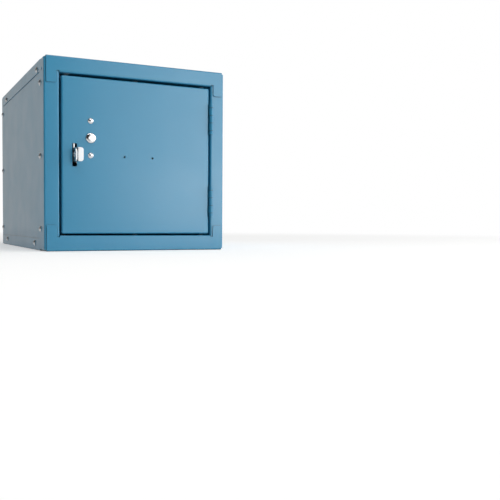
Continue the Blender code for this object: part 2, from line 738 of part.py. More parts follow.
def make_strike_bracket(cutters):
    """Angle bracket behind the latch stile, with the tongue that meets the latch plate's web."""
    rear = STILE_RETURN + SEAT_GAP + STRIKE_SHEET
    low = LATCH_LEVEL - TONGUE_HEIGHT / 2
    high = LATCH_LEVEL + TONGUE_HEIGHT / 2
    top = low + STRIKE_HEIGHT
    section = bent([(STILE_FACE + STOP_STEP, rear), (STRIKE_OFFSET, rear), (STRIKE_OFFSET, STRIKE_FRONT)],
                   LATCH_BEND, STRIKE_SHEET, -1)
    bm = draw_along(section, "XY", (low, high, top))
    tongue = rim_edges(bm, lambda at: abs(at.y - STRIKE_FRONT) < MERGE and at.z < high)
    extend(bm, tongue, (0.0, -TONGUE_REACH - STRIKE_FRONT, 0.0))
    round_corner(bm, (STRIKE_OFFSET, -TONGUE_REACH, low), TONGUE_LOW_CORNER)
    round_corner(bm, (STRIKE_OFFSET, -TONGUE_REACH, high), TONGUE_TOP_CORNER)
    round_corner(bm, (STRIKE_OFFSET, STRIKE_FRONT, top), STRIKE_CORNER)
    face_outwards(bm, (1.0, 0.0, 0.0))
    bracket = place("strike_bracket", to_mesh("strike_bracket", bm), (0.0, 0.0, 0.0), CABINET, "zinc_plate")
    thicken(bracket, STRIKE_SHEET)
    for cutter in cutters:
        cut(bracket, cutter)
    return bracket


# Hinges: each leaf is one sheet whose front edge curls round the pin as knuckles

def knuckle_stations(level):
    """Heights along a hinge: its ends and both sides of each joint between knuckles."""
    low = level - HINGE_LENGTH / 2
    stations = [low]
    for share in KNUCKLE_SHARES:
        joint = low + share * HINGE_LENGTH
        stations += [joint - KNUCKLE_GAP / 2, joint + KNUCKLE_GAP / 2]
    return stations + [low + HINGE_LENGTH]


def curl():
    """Points round the pin, from the leaf's face forwards and back towards the frame."""
    angles = [math.pi + CURL_ANGLE * step / CURL_STEPS for step in range(1, CURL_STEPS + 1)]
    return [Vector((AXIS_X + KNUCKLE_RADIUS * math.cos(angle), AXIS_Y + KNUCKLE_RADIUS * math.sin(angle)))
            for angle in angles]


def make_leaf(name, run, notch, own, level, parent, origin):
    """One hinge leaf; own tells which of the five knuckles it carries."""
    stations = knuckle_stations(level)
    bays = {0: 0, 2: 1, 4: 2, 6: 3, 8: 4}
    held = [(stations[index], stations[index + 1]) for index, knuckle in bays.items() if knuckle % 2 == own]
    bm = draw_along(run + curl(), "XY", stations)
    drop_faces(bm, lambda at: at.y < notch + MERGE and not any(low < at.z < high for low, high in held))
    face_outwards(bm, (-1.0, 0.0, 0.0))
    leaf = place(name, to_mesh(name, bm, origin), (0.0, 0.0, 0.0), parent, "blue_paint")
    thicken(leaf, LEAF_SHEET)
    return leaf


def make_hinge(side, level):
    """Frame leaf, door leaf and pin of one hinge."""
    joggled = bent([(FRAME_LEAF_OUT, LEAF_NOTCH), (FRAME_LEAF_OUT, JOGGLE_START), (LEAF_OUT, JOGGLE_END),
                    (LEAF_OUT, AXIS_Y)], JOGGLE_BEND, 0.0, 1)
    joggled.insert(0, Vector((FRAME_LEAF_OUT, LEAF_END)))
    make_leaf(f"hinge_frame_leaf_{side}", joggled, LEAF_NOTCH, 0, level, CABINET, (0.0, 0.0, 0.0))
    straight = [Vector((LEAF_OUT, LEAF_END)), Vector((LEAF_OUT, LEAF_NOTCH)), Vector((LEAF_OUT, AXIS_Y))]
    make_leaf(f"hinge_door_leaf_{side}", straight, LEAF_NOTCH, 1, level, DOOR, (AXIS_X, AXIS_Y, 0.0))
    radius = KNUCKLE_RADIUS - LEAF_SHEET - SEAT_GAP
    half = HINGE_LENGTH / 2
    profile = [(0.0, half), (radius - SEAT_GAP, half), (radius, half - SEAT_GAP),
               (radius, SEAT_GAP - half), (radius - SEAT_GAP, -half), (0.0, -half)]
    name = f"hinge_pin_{side}"
    place(name, finished(turned(name, profile, ROUND_STEPS)), (AXIS_X, AXIS_Y, level), CABINET, "blue_paint")


# Bumpers

def bumper_mesh(name, width, length, sheets):
    """Nylon bumper: a round-ended button on a shank, with a barb behind the sheets."""
    grip = stack_of(*sheets)
    radius = width / 2
    crown = [(0.0, length)]
    crown += [(radius / 2 + radius / 2 * math.sin(angle), length - radius / 2 * (1 - math.cos(angle)))
              for angle in (math.pi / 2 * step / BEND_STEPS for step in range(BEND_STEPS + 1))]
    profile = crown + [(radius, 0.0), (BUMPER_SHANK / 2, 0.0), (BUMPER_SHANK / 2, -grip),
                       (BUMPER_BARB / 2, -grip), (BUMPER_SHANK / 2, -grip - BUMPER_BARB_HEIGHT),
                       (0.0, -grip - BUMPER_BARB_HEIGHT)]
    return finished(turned(name, profile, ROUND_STEPS))


def make_bumpers():
    quarter = math.radians(90.0)
    high = bumper_mesh("door_bumper_upper", HIGH_BUMPER, HIGH_BUMPER_LENGTH, (FRAME_SHEET, PANEL_SHEET))
    place("door_bumper_upper", high, (HIGH_BUMPER_OFFSET, HIGH_BUMPER_DEPTH, HEIGHT - RAIL_FACE - SEAT_GAP),
          CABINET, "white_nylon", (2 * quarter, 0.0, 0.0))
    low = bumper_mesh("door_bumper_lower", LOW_BUMPER, LOW_BUMPER_LENGTH, (FRAME_SHEET,))
    place("door_bumper_lower", low,
          (STILE_FACE + STOP_STEP + SEAT_GAP, LOW_BUMPER_DEPTH, LATCH_LEVEL - LOW_BUMPER_DROP),
          CABINET, "white_nylon", (0.0, quarter, 0.0))


# Bolts

def column(depth, low, high):
    """Three places up the side: two end ones and one half-way."""
    return [(depth, height) for height in (low, (low + high) / 2, high)]


def side_bolts(side):
    """Places of one side's bolts: name, group, position of the head's seat, and the sheets held."""
    surface = {"front": 0.0, "rear": PANEL_OUT, "top": PAN_OUT, "bottom": PAN_OUT}
    sheets = {"front": (FRAME_SHEET, PANEL_SHEET), "rear": (PANEL_SHEET, PANEL_SHEET),
              "top": (PANEL_SHEET, PANEL_SHEET), "bottom": (PANEL_SHEET, PANEL_SHEET, PANEL_SHEET)}
    spots = {
        "front": column(FRONT_COLUMN_DEPTH, FRONT_COLUMN_RISE, HEIGHT - FRONT_COLUMN_DROP),
        "rear": column(DEPTH - REAR_COLUMN_INSET, REAR_COLUMN_RISE, HEIGHT - REAR_COLUMN_DROP),
        "top": [(depth, HEIGHT - HIGH_STRIP_DROP) for depth in (HIGH_STRIP_DEPTH, DEPTH - HIGH_STRIP_INSET)],
        "bottom": [(depth, LOW_STRIP_RISE) for depth in (LOW_STRIP_DEPTH, DEPTH - LOW_STRIP_INSET)],
    }
    for group, places in spots.items():
        seat = surface[group] - SEAT_GAP
        x = seat if side == "left" else WIDTH - seat
        for number, (depth, height) in enumerate(places, 1):
            yield f"bolt_{side}_{group}_{number}", group, (x, depth, height), sheets[group]


def make_bolts():
    meshes = {}

    def shared(sheets):
        if sheets not in meshes:
            meshes[sheets] = bolt_mesh(stack_of(*sheets))
            meshes[sheets].materials.append(new_material("bolt", "zinc_plate"))
        return meshes[sheets]

    quarter = math.radians(90.0)
    for side, tilt in (("left", -quarter), ("right", quarter)):
        for name, group, spot, sheets in side_bolts(side):
            place(name, shared(sheets), spot, CABINET, "zinc_plate", (0.0, tilt, 0.0))
    rail_sheets = (FRAME_SHEET, PANEL_SHEET)
    for number, x in enumerate(RAIL_BOLTS, 1):
        spot = (x, RAIL_BOLT_DEPTH, RAIL_FACE + SEAT_GAP)
        place(f"bolt_bottom_rail_{number}", shared(rail_sheets), spot, CABINET, "zinc_plate")
    for number, x in enumerate(RAIL_BOLTS[1:], 1):
        spot = (x, RAIL_BOLT_DEPTH, HEIGHT - RAIL_FACE - SEAT_GAP)
        name = f"bolt_top_rail_{number}"
        place(name, shared(rail_sheets), spot, CABINET, "zinc_plate", (2 * quarter, 0.0, 0.0))


def group_holes(name, groups):
    """One cutter for the bolt holes of some groups, on both sides of the cabinet."""
    places = [spot for side in ("left", "right") for _, group, spot, _ in side_bolts(side) if group in groups]
    places = [(0.0 if x < WIDTH / 2 else WIDTH, y, z) for x, y, z in places]
    return round_holes(name, places, (1.0, 0.0, 0.0), BOLT_HOLE, 4 * (INNER_OUT + OVERRUN), BOLT_STEPS)


def build_cabinet():
    upright = (0.0, 0.0, 0.0)
    over = (0.0, math.radians(180.0), 0.0)
    along_z, along_x = (0.0, 0.0, 1.0), (1.0, 0.0, 0.0)
    rail_depth = 2 * (RAIL_FACE - OVERRUN)
    low_holes = round_holes("low_rail_holes", [(x, RAIL_BOLT_DEPTH, RAIL_FACE) for x in RAIL_BOLTS],
                            along_z, BOLT_HOLE, rail_depth, BOLT_STEPS)
    high_level = HEIGHT - RAIL_FACE
    high_holes = round_holes("high_rail_holes", [(x, RAIL_BOLT_DEPTH, high_level) for x in RAIL_BOLTS[1:]],
                             along_z, BOLT_HOLE, rail_depth, BOLT_STEPS)
    bumper_hole = round_holes("high_bumper_hole", [(HIGH_BUMPER_OFFSET, HIGH_BUMPER_DEPTH, high_level)],
                              along_z, BUMPER_HOLE, rail_depth, BOLT_STEPS)
    top_rail = make_rail("frame_top_rail", HEIGHT, upright, high_holes)
    cut(top_rail, bumper_hole)
    make_rail("frame_bottom_rail", 0.0, over, low_holes)

    front_holes = group_holes("front_column_holes", ("front",))
    rear_holes = group_holes("rear_column_holes", ("rear",))
    top_strip = group_holes("top_strip_holes", ("top",))
    low_strip = group_holes("low_strip_holes", ("bottom",))
    all_holes = group_holes("side_panel_holes", ("front", "rear", "top", "bottom"))
    spare = round_holes("spare_holes", [(x, SPARE_HOLE_DEPTH, HEIGHT - SPARE_HOLE_DROP) for x in (0.0, WIDTH)],
                        along_x, SPARE_HOLE, 2 * (FRAME_SHEET + OVERRUN), BOLT_STEPS)
    pin_hole = round_holes("low_bumper_hole",
                           [(STILE_FACE + STOP_STEP, LOW_BUMPER_DEPTH, LATCH_LEVEL - LOW_BUMPER_DROP)],
                           along_x, BUMPER_HOLE, 2 * (FRAME_SHEET + OVERRUN), BOLT_STEPS)
    make_stile("frame_latch_stile", (0.0, 0.0, 0.0), upright, (front_holes, spare, pin_hole))
    make_stile("frame_hinge_stile", (WIDTH, 0.0, HEIGHT), over, (front_holes, spare))

    make_side_panel("side_panel_left", PANEL_OUT, PANEL_OUT + PANEL_SHEET, all_holes)
    make_side_panel("side_panel_right", WIDTH - PANEL_OUT, WIDTH - PANEL_OUT - PANEL_SHEET, all_holes)
    make_pan("top_panel", HEIGHT, upright, (top_strip, high_holes, bumper_hole))
    make_pan("bottom_panel", 0.0, over, (low_strip, low_holes))
    floor_holes = round_holes("floor_holes",
                              [(WIDTH / 2 + offset, FLOOR_HOLE_DEPTH, RAIL_FACE)
                               for offset in (-FLOOR_HOLE_PITCH / 2, FLOOR_HOLE_PITCH / 2)],
                              along_z, FLOOR_HOLE, rail_depth, BOLT_STEPS)
    make_floor_panel((low_strip, floor_holes))
    make_back_panel(rear_holes)

    padlock = round_holes("strike_padlock_hole", [(STRIKE_OFFSET, -PADLOCK_REACH, LATCH_LEVEL)],
                          along_x, PADLOCK_HOLE, 2 * (STRIKE_SHEET + OVERRUN))
    slot_level = LATCH_LEVEL + STRIKE_SLOT_RISE
    window = round_slot("strike_slot", (STRIKE_OFFSET, STRIKE_SLOT_DEPTH, slot_level),
                        (STRIKE_SLOT_WIDTH, STRIKE_SLOT_HEIGHT, 2 * (STRIKE_SHEET + OVERRUN)), 0, SLOT_CORNER)
    make_strike_bracket((padlock, window))
    make_bumpers()
    make_bolts()


def build_door():
    along_y, along_x = (0.0, 1.0, 0.0), (1.0, 0.0, 0.0)
    through = 2 * (DOOR_FLANGE - OVERRUN)
    rivet_levels = (LATCH_LEVEL + RIVET_PITCH, LATCH_LEVEL)
    plug_level = LATCH_LEVEL + RIVET_PITCH / 2
    slot = round_slot("door_slot", (SLOT_MIDDLE, DOOR_FRONT, LATCH_LEVEL),
                      (SLOT_WIDTH, SLOT_HEIGHT, 2 * (FRAME_SHEET + OVERRUN)), 1, SLOT_CORNER)
    plate_holes = round_holes("door_plate_holes",
                              [(WIDTH / 2 + offset, DOOR_FRONT, LATCH_LEVEL)
                               for offset in (-PLATE_HOLE_PITCH / 2, PLATE_HOLE_PITCH / 2)],
                              along_y, PLATE_HOLE, through, BOLT_STEPS)
    rivet_holes = round_holes("rivet_holes", [(RIVET_OFFSET, DOOR_FRONT, level) for level in rivet_levels],
                              along_y, RIVET_SHANK + 2 * SEAT_GAP, through)
    plug_hole = round_holes("plug_hole", [(RIVET_OFFSET, DOOR_FRONT, plug_level)],
                            along_y, PLUG_NECK + 2 * SEAT_GAP, through)
    notches = [hinge_notch(f"hinge_notch_{number}", level) for number, level in enumerate(HINGE_LEVELS, 1)]
    make_door_panel((door_slits(), slot, plate_holes, rivet_holes, plug_hole, *notches))
    padlock = round_holes("web_padlock_hole", [(WEB_LEFT, -PADLOCK_REACH, LATCH_LEVEL)],
                          along_x, PADLOCK_HOLE, 2 * (LATCH_SHEET + OVERRUN))
    make_latch_plate((rivet_holes, plug_hole, padlock))
    rivet = clinched("latch_rivet", (RIVET_HEAD, RIVET_HEAD_HEIGHT), RIVET_SHANK,
                     (RIVET_TAIL, RIVET_TAIL_HEIGHT))
    rivet.materials.append(new_material("latch_rivet", "bright_chrome"))
    for name, level in zip(("latch_rivet_upper", "latch_rivet_lower"), rivet_levels):
        place_on_door(name, rivet, RIVET_OFFSET, level, "bright_chrome")
    plug = clinched("lock_hole_plug", (PLUG_HEAD, PLUG_HEAD_HEIGHT), PLUG_NECK, (PLUG_RING, PLUG_RING_HEIGHT),
                    (PLUG_DIMPLE, PLUG_DIMPLE_DEPTH), PLUG_BORE)
    place_on_door("lock_hole_plug", plug, RIVET_OFFSET, plug_level, "bright_chrome")


clear_scene()
PARTS = new_collection("cube_locker")
CUTTERS = new_collection("cutters")
CABINET = new_empty("cabinet_corner", (-WIDTH / 2, -(DEPTH - TONGUE_REACH) / 2, 0.0))
DOOR = new_empty("door_axis", (AXIS_X, AXIS_Y, 0.0), CABINET)
build_cabinet()
build_door()
for hinge_side, hinge_level in zip(("upper", "lower"), HINGE_LEVELS):
    make_hinge(hinge_side, hinge_level)
bpy.context.view_layer.update()
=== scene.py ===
"""Looks of the cube locker: finer sheet pieces, paint, plating, floor, light and camera.

Metres, +Z up. Sizes are measured from the cabinet's left outer side (x), from the front of the frame
(y, backwards) and from the base (z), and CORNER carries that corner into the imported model's frame.
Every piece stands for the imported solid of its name, with rounder bends and softened cut edges.
"""

import json
import math

import bmesh
import bpy
from mathutils import Matrix, Vector

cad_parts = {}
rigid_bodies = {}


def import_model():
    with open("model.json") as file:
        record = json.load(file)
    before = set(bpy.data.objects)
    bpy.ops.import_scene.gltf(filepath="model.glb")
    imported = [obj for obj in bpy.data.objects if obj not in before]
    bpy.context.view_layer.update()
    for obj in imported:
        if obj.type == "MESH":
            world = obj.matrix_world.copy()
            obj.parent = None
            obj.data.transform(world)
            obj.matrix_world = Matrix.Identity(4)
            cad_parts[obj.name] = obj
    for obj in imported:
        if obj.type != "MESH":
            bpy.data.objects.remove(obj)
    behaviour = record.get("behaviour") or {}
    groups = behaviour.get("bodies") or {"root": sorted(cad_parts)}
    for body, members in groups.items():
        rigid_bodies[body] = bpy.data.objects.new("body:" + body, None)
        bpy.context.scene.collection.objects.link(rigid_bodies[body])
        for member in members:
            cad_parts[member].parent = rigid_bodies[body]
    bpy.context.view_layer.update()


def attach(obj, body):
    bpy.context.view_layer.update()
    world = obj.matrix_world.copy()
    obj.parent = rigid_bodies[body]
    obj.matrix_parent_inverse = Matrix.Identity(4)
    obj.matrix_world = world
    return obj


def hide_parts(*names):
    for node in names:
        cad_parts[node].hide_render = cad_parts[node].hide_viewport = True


for old in list(bpy.data.objects):
    bpy.data.objects.remove(old, do_unlink=True)
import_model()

# Overall size of the cabinet
WIDTH = 0.3048
DEPTH = 0.4572
HEIGHT = 0.3048

# Sheet thicknesses and outer bend radii
FRAME_SHEET = 0.0015
PANEL_SHEET = 0.0008
LATCH_SHEET = 0.0020
STRIKE_SHEET = 0.0023
LEAF_SHEET = 0.0010
FRAME_BEND = 0.0025
PANEL_BEND = 0.0016
DOOR_BEND = 0.0024
LATCH_BEND = 0.0032

# Fit between pieces, and how far a cutter runs past what it cuts
SEAT_GAP = 0.0003
OVERRUN = 0.0020

# Frame rails, top and bottom
RAIL_FACE = 0.0250
RAIL_INSET = 0.0035
FRAME_FLANGE = 0.0381
RAIL_RETURN = 0.0378
EAR_WIDTH = 0.0195
EAR_DROP = 0.0164
EAR_CORNER = 0.0035

# Frame stiles, latch side and hinge side
STILE_FACE = 0.0238
STOP_DEPTH = 0.0180
STOP_STEP = 0.0042
STILE_RETURN = 0.0300
STILE_REAR_REACH = 0.0045
SPARE_HOLE = 0.0050
SPARE_HOLE_DEPTH = 0.0175
SPARE_HOLE_DROP = 0.0190

# Outer pans, top and bottom
PAN_FLANGE = 0.0195
PAN_REAR_RELIEF = 0.0172
PAN_LIP_FRONT = 0.0140
PAN_LIP_INSET = 0.0250
PAN_LIP_SLIT = 0.0010

# Side panels, back panel and floor
SIDE_PANEL_START = 0.0050
BACK_FLANGE = 0.0200
FLOOR_CLEARANCE = 0.0005
FLOOR_HOLE = 0.0040
FLOOR_HOLE_PITCH = 0.0180
FLOOR_HOLE_DEPTH = 0.2386

# Door panel
DOOR_FRONT = 0.0010
DOOR_LATCH_GAP = 0.0033
DOOR_HINGE_GAP = 0.0036
DOOR_LOW_GAP = 0.0029
DOOR_HIGH_GAP = 0.0042
DOOR_FLANGE = 0.0160
DOOR_END_FLANGE = 0.0130
DOOR_LIP = 0.0095
DOOR_SLIT = 0.0006
HINGE_NOTCH = 0.0018
HINGE_NOTCH_DEPTH = 0.0040
HINGE_NOTCH_MARGIN = 0.0010
PLATE_HOLE = 0.0035
PLATE_HOLE_PITCH = 0.0476

# Strike bracket and latch plate
STRIKE_OFFSET = 0.0481
STRIKE_HEIGHT = 0.0631
STRIKE_FRONT = 0.0034
STRIKE_CORNER = 0.0030
TONGUE_HEIGHT = 0.0220
TONGUE_REACH = 0.0135
TONGUE_TOP_CORNER = 0.0075
TONGUE_LOW_CORNER = 0.0040
STRIKE_SLOT_WIDTH = 0.0090
STRIKE_SLOT_HEIGHT = 0.0260
STRIKE_SLOT_RISE = 0.0265
STRIKE_SLOT_DEPTH = 0.0170
WEB_CLEARANCE = 0.0008
SLOT_WIDTH = 0.0074
SLOT_HEIGHT = 0.0365
SLOT_CORNER = 0.0012
PULL_REACH = 0.0130
PULL_WIDTH = 0.0094
PULL_CORNER = 0.0040
PADLOCK_HOLE = 0.0095
PADLOCK_REACH = 0.0040
LATCH_PLATE_OFFSET = 0.0101
LATCH_PLATE_WIDTH = 0.0284
LATCH_PLATE_HEIGHT = 0.0794
LATCH_PLATE_DROP = 0.0129
LATCH_PLATE_CORNER = 0.0030

# Plate rivets and the plug in the unused lock hole
RIVET_PITCH = 0.0549
RIVET_HEAD = 0.0095
RIVET_HEAD_HEIGHT = 0.0024
RIVET_SHANK = 0.0048
RIVET_TAIL = 0.0072
RIVET_TAIL_HEIGHT = 0.0016
PLUG_HEAD = 0.0159
PLUG_HEAD_HEIGHT = 0.0022
PLUG_DIMPLE = 0.0076
PLUG_DIMPLE_DEPTH = 0.0004
PLUG_RIM = 0.0008
PLUG_NECK = 0.0127
PLUG_RING = 0.0150
PLUG_RING_HEIGHT = 0.0018
PLUG_BORE = 0.0096

# Hinges
HINGE_DROP = 0.0812
HINGE_RISE = 0.0828
HINGE_LENGTH = 0.0520
KNUCKLE_RADIUS = 0.0032
KNUCKLE_SHARES = (0.125, 0.375, 0.625, 0.875)
KNUCKLE_GAP = 0.0009
JOINT_CLEARANCE = 0.00008
AXIS_FORWARD = 0.0020
CURL_ANGLE = math.radians(300.0)
LEAF_END = 0.0160
LEAF_NOTCH = 0.0036
JOGGLE_START = 0.0024
JOGGLE_END = -0.0004
JOGGLE_BEND = 0.0014

# Bolts: dome head, shank and nut
BOLT_HEAD = 0.0100
BOLT_HEAD_HEIGHT = 0.0023
BOLT_SHANK = 0.0048
BOLT_HOLE = 0.0056
BOLT_END = 0.0014
NUT_WIDTH = 0.0085
NUT_HEIGHT = 0.0032
NUT_SIDES = 6

# Where the bolts sit: a depth is from the front, an inset from the rear or the side, a rise from the
# base and a drop from the top
FRONT_COLUMN_DEPTH = 0.0310
FRONT_COLUMN_RISE = 0.0350
FRONT_COLUMN_DROP = 0.0388
REAR_COLUMN_INSET = 0.0112
REAR_COLUMN_RISE = 0.0350
REAR_COLUMN_DROP = 0.0358
HIGH_STRIP_DROP = 0.0135
HIGH_STRIP_DEPTH = 0.0610
HIGH_STRIP_INSET = 0.0705
LOW_STRIP_RISE = 0.0115
LOW_STRIP_DEPTH = 0.0860
LOW_STRIP_INSET = 0.0752
RAIL_BOLT_DEPTH = 0.0215
RAIL_BOLT_INSET = 0.0335

# Door bumpers
HIGH_BUMPER = 0.0085
HIGH_BUMPER_LENGTH = 0.0085
HIGH_BUMPER_OFFSET = 0.0390
HIGH_BUMPER_DEPTH = 0.0245
LOW_BUMPER = 0.0060
LOW_BUMPER_LENGTH = 0.0137
LOW_BUMPER_DEPTH = 0.0225
LOW_BUMPER_DROP = 0.0144
BUMPER_SHANK = 0.0036
BUMPER_HOLE = 0.0044
BUMPER_BARB = 0.0050
BUMPER_BARB_HEIGHT = 0.0022

# How finely round shapes are divided, and how far cut edges are softened
BEND_STEPS = 6
DOME_STEPS = 8
BOLT_STEPS = 40
ROUND_STEPS = 48
CURL_STEPS = 40
MERGE = 0.00001
EDGE_ROUND = 0.00016
EDGE_STEPS = 2
EDGE_ANGLE = math.radians(48.0)
SMOOTH_ANGLE = math.radians(38.0)

# Faces that neighbouring pieces share, worked out from the sizes above
STILE_FRONT = FRAME_SHEET + SEAT_GAP
PANEL_OUT = FRAME_SHEET + SEAT_GAP
PAN_OUT = PANEL_OUT - SEAT_GAP - PANEL_SHEET
INNER_OUT = PANEL_OUT + PANEL_SHEET + SEAT_GAP
PANEL_LOW = FRAME_SHEET + SEAT_GAP
PANEL_HIGH = HEIGHT - PANEL_LOW
PANEL_REAR = DEPTH - PANEL_SHEET - SEAT_GAP
STILE_REAR_FACE = STILE_RETURN - FRAME_SHEET
RETURN_START = STILE_FACE + SEAT_GAP
DOOR_LEFT = STILE_FACE + DOOR_LATCH_GAP
DOOR_RIGHT = WIDTH - STILE_FACE - DOOR_HINGE_GAP
DOOR_LOW = RAIL_FACE + DOOR_LOW_GAP
DOOR_HIGH = HEIGHT - RAIL_FACE - DOOR_HIGH_GAP
DOOR_BACK = DOOR_FRONT + FRAME_SHEET
LATCH_LEVEL = HEIGHT / 2
TONGUE_LOW = LATCH_LEVEL - TONGUE_HEIGHT / 2
TONGUE_HIGH = LATCH_LEVEL + TONGUE_HEIGHT / 2
WEB_LEFT = STRIKE_OFFSET + WEB_CLEARANCE
SLOT_RIGHT = WEB_LEFT + LATCH_SHEET + SEAT_GAP
SLOT_MIDDLE = SLOT_RIGHT - SLOT_WIDTH / 2
LATCH_REAR = DOOR_BACK + SEAT_GAP + LATCH_SHEET
LATCH_PLATE_LEFT = WEB_LEFT + LATCH_PLATE_OFFSET
LATCH_PLATE_RIGHT = LATCH_PLATE_LEFT + LATCH_PLATE_WIDTH
LATCH_PLATE_LOW = LATCH_LEVEL - LATCH_PLATE_DROP
RIVET_OFFSET = (LATCH_PLATE_LEFT + LATCH_PLATE_RIGHT) / 2
LEAF_OUT = DOOR_RIGHT + SEAT_GAP
FRAME_LEAF_OUT = WIDTH - STILE_FACE - SEAT_GAP - LEAF_SHEET
AXIS_X = LEAF_OUT + KNUCKLE_RADIUS
AXIS_Y = -AXIS_FORWARD
AXIS = (AXIS_X, AXIS_Y, 0.0)
HINGE_LEVELS = (HEIGHT - HINGE_DROP, HINGE_RISE)
HIGH_SEAT = HEIGHT - RAIL_FACE - SEAT_GAP
RAIL_BOLTS = (RAIL_BOLT_INSET, WIDTH / 2, WIDTH - RAIL_BOLT_INSET)
CORNER = Vector((-WIDTH / 2, -(DEPTH - TONGUE_REACH) / 2, 0.0))

# Directions and turns
ZERO = (0.0, 0.0, 0.0)
LEFT, RIGHT = (-1.0, 0.0, 0.0), (1.0, 0.0, 0.0)
FORWARD, BACKWARD = (0.0, -1.0, 0.0), (0.0, 1.0, 0.0)
UP = (0.0, 0.0, 1.0)
QUARTER = math.radians(90.0)
OVER = (0.0, math.radians(180.0), 0.0)


def configure(item, **settings):
    """Set properties of an item, in the order given."""
    for setting, value in settings.items():
        setattr(item, setting, value)
    return item


def add_object(name, data, collection, location=ZERO, parent=None, rotation=ZERO):
    """A new object, placed and linked."""
    item = bpy.data.objects.new(name, data)
    item.location = location
    item.rotation_euler = rotation
    item.parent = parent
    collection.objects.link(item)
    return item


# Drafts and cutters are helpers, removed once the pieces that show are made from them
SCENE = bpy.context.scene.collection
PARTS, CUTTERS = bpy.data.collections.new("drafts"), bpy.data.collections.new("cutters")
SCENE.children.link(PARTS)
SCENE.children.link(CUTTERS)
CABINET = add_object("cabinet_corner", None, SCENE, CORNER)
DOOR = add_object("door_axis", None, SCENE, AXIS, CABINET)
DRAFTS = []


def place(name, mesh, location, parent, finish, rotation=ZERO):
    """Put a draft mesh in the drafts collection, with the finish it will have."""
    piece = add_object("draft " + name, mesh, PARTS, location, parent, rotation)
    DRAFTS.append((name, piece, finish))
    return piece


def to_mesh(name, bm, origin=ZERO):
    """Turn a bmesh into a mesh whose own zero is at the given point."""
    bmesh.ops.translate(bm, verts=bm.verts, vec=-Vector(origin))
    mesh = bpy.data.meshes.new(name)
    bm.to_mesh(mesh)
    bm.free()
    mesh.shade_smooth()
    return mesh


def evaluated(item):
    """The mesh that an object has once its modifiers have run."""
    bpy.context.view_layer.update()
    return bpy.data.meshes.new_from_object(item.evaluated_get(bpy.context.evaluated_depsgraph_get()))


# Folded sheet metal: a section with round bends, drawn along the piece, then given its thickness

def bent(corners, outer_radius, sheet, side):
    """Points of a section: straight runs joined by round bends.

    side is 1 where the metal lies left of the line and -1 where it lies right. A bend that turns
    towards the metal has the outer radius, and one that turns away has the inner radius.
    """
    corners = [Vector(corner) for corner in corners]
    points = corners[:1]
    for before, corner, after in zip(corners, corners[1:], corners[2:]):
        back = (before - corner).normalized()
        ahead = (after - corner).normalized()
        turn = -back.x * ahead.y + back.y * ahead.x
        radius = outer_radius if turn * side > 0 else outer_radius - sheet
        half = back.angle(ahead) / 2
        centre = corner + (back + ahead).normalized() * radius / math.sin(half)
        start = corner + back * radius / math.tan(half) - centre
        sweep = math.copysign(math.pi - 2 * half, turn)
        for step in range(BEND_STEPS + 1):
            points.append(centre + Matrix.Rotation(sweep * step / BEND_STEPS, 2) @ start)
    return points + corners[-1:]


PLANES = {
    "XY": lambda a, b, s: Vector((a, b, s)),
    "XZ": lambda a, b, s: Vector((a, s, b)),
    "YZ": lambda a, b, s: Vector((s, a, b)),
}


def draw_along(section, plane, stations):
    """Open surface made by extruding a section through the stations."""
    bm = bmesh.new()
    at = PLANES[plane]
    verts = [bm.verts.new(at(a, b, stations[0])) for a, b in section]
    edges = [bm.edges.new(pair) for pair in zip(verts, verts[1:])]
    for start, end in zip(stations, stations[1:]):
        edges = extend(bm, edges, at(0.0, 0.0, end - start))
    return bm


def extend(bm, edges, step):
    """Extrude edges by one step and give the new edges back."""
    grown = bmesh.ops.extrude_edge_only(bm, edges=edges)["geom"]
    verts = [item for item in grown if isinstance(item, bmesh.types.BMVert)]
    bmesh.ops.translate(bm, verts=verts, vec=step)
    return [item for item in grown
            if isinstance(item, bmesh.types.BMEdge) and all(vert in verts for vert in item.verts)]


def sweep_edges(bm, edges, plane, path):
    """Extrude edges along a path of section points."""
    at = PLANES[plane]
    for here, there in zip(path, path[1:]):
        step = at(there[0] - here[0], there[1] - here[1], 0.0)
        if step.length > MERGE:
            edges = extend(bm, edges, step)


def middle(item):
    return sum((v.co for v in item.verts), Vector()) / len(item.verts)


def rim_edges(bm, wanted):
    """Boundary edges whose middle passes a test."""
    return [edge for edge in bm.edges if edge.is_boundary and wanted(middle(edge))]


def drop_faces(bm, unwanted):
    faces = [face for face in bm.faces if unwanted(middle(face))]
    bmesh.ops.delete(bm, geom=faces, context="FACES")


def bevel(bm, geom, radius, affect="EDGES"):
    bmesh.ops.bevel(bm, geom=geom, offset=radius, offset_type="OFFSET", segments=BEND_STEPS,
                    profile=0.5, affect=affect)


def round_corner(bm, near, radius):
    """Round one free corner of an open sheet."""
    corner = min(bm.verts, key=lambda vert: (vert.co - Vector(near)).length)
    bevel(bm, [corner], radius, "VERTICES")


def sheet_piece(name, bm, outward, sheet, cutters=(), finish="blue_paint", location=ZERO, turn=ZERO,
                on_door=False, halved=False):
    """Place an open surface as a draft: mirrored where it is one half, thickened inwards, and cut.

    outward is where its largest face looks. A door piece has its zero on the hinge axis at the base.
    """
    bmesh.ops.recalc_face_normals(bm, faces=bm.faces)
    largest = max(bm.faces, key=lambda face: face.calc_area())
    if largest.normal.dot(Vector(outward)) < 0:
        bmesh.ops.reverse_faces(bm, faces=bm.faces)
    mesh = to_mesh(name, bm, AXIS if on_door else ZERO)
    piece = place(name, mesh, location, DOOR if on_door else CABINET, finish, turn)
    if halved:
        configure(piece.modifiers.new("other half", "MIRROR"), use_axis=(True, False, False),
                  merge_threshold=MERGE)
    configure(piece.modifiers.new("sheet", "SOLIDIFY"), thickness=sheet, offset=-1.0,
              use_even_offset=True, use_quality_normals=True)
    for cutter in cutters:
        combine(piece, cutter)


# Cutters

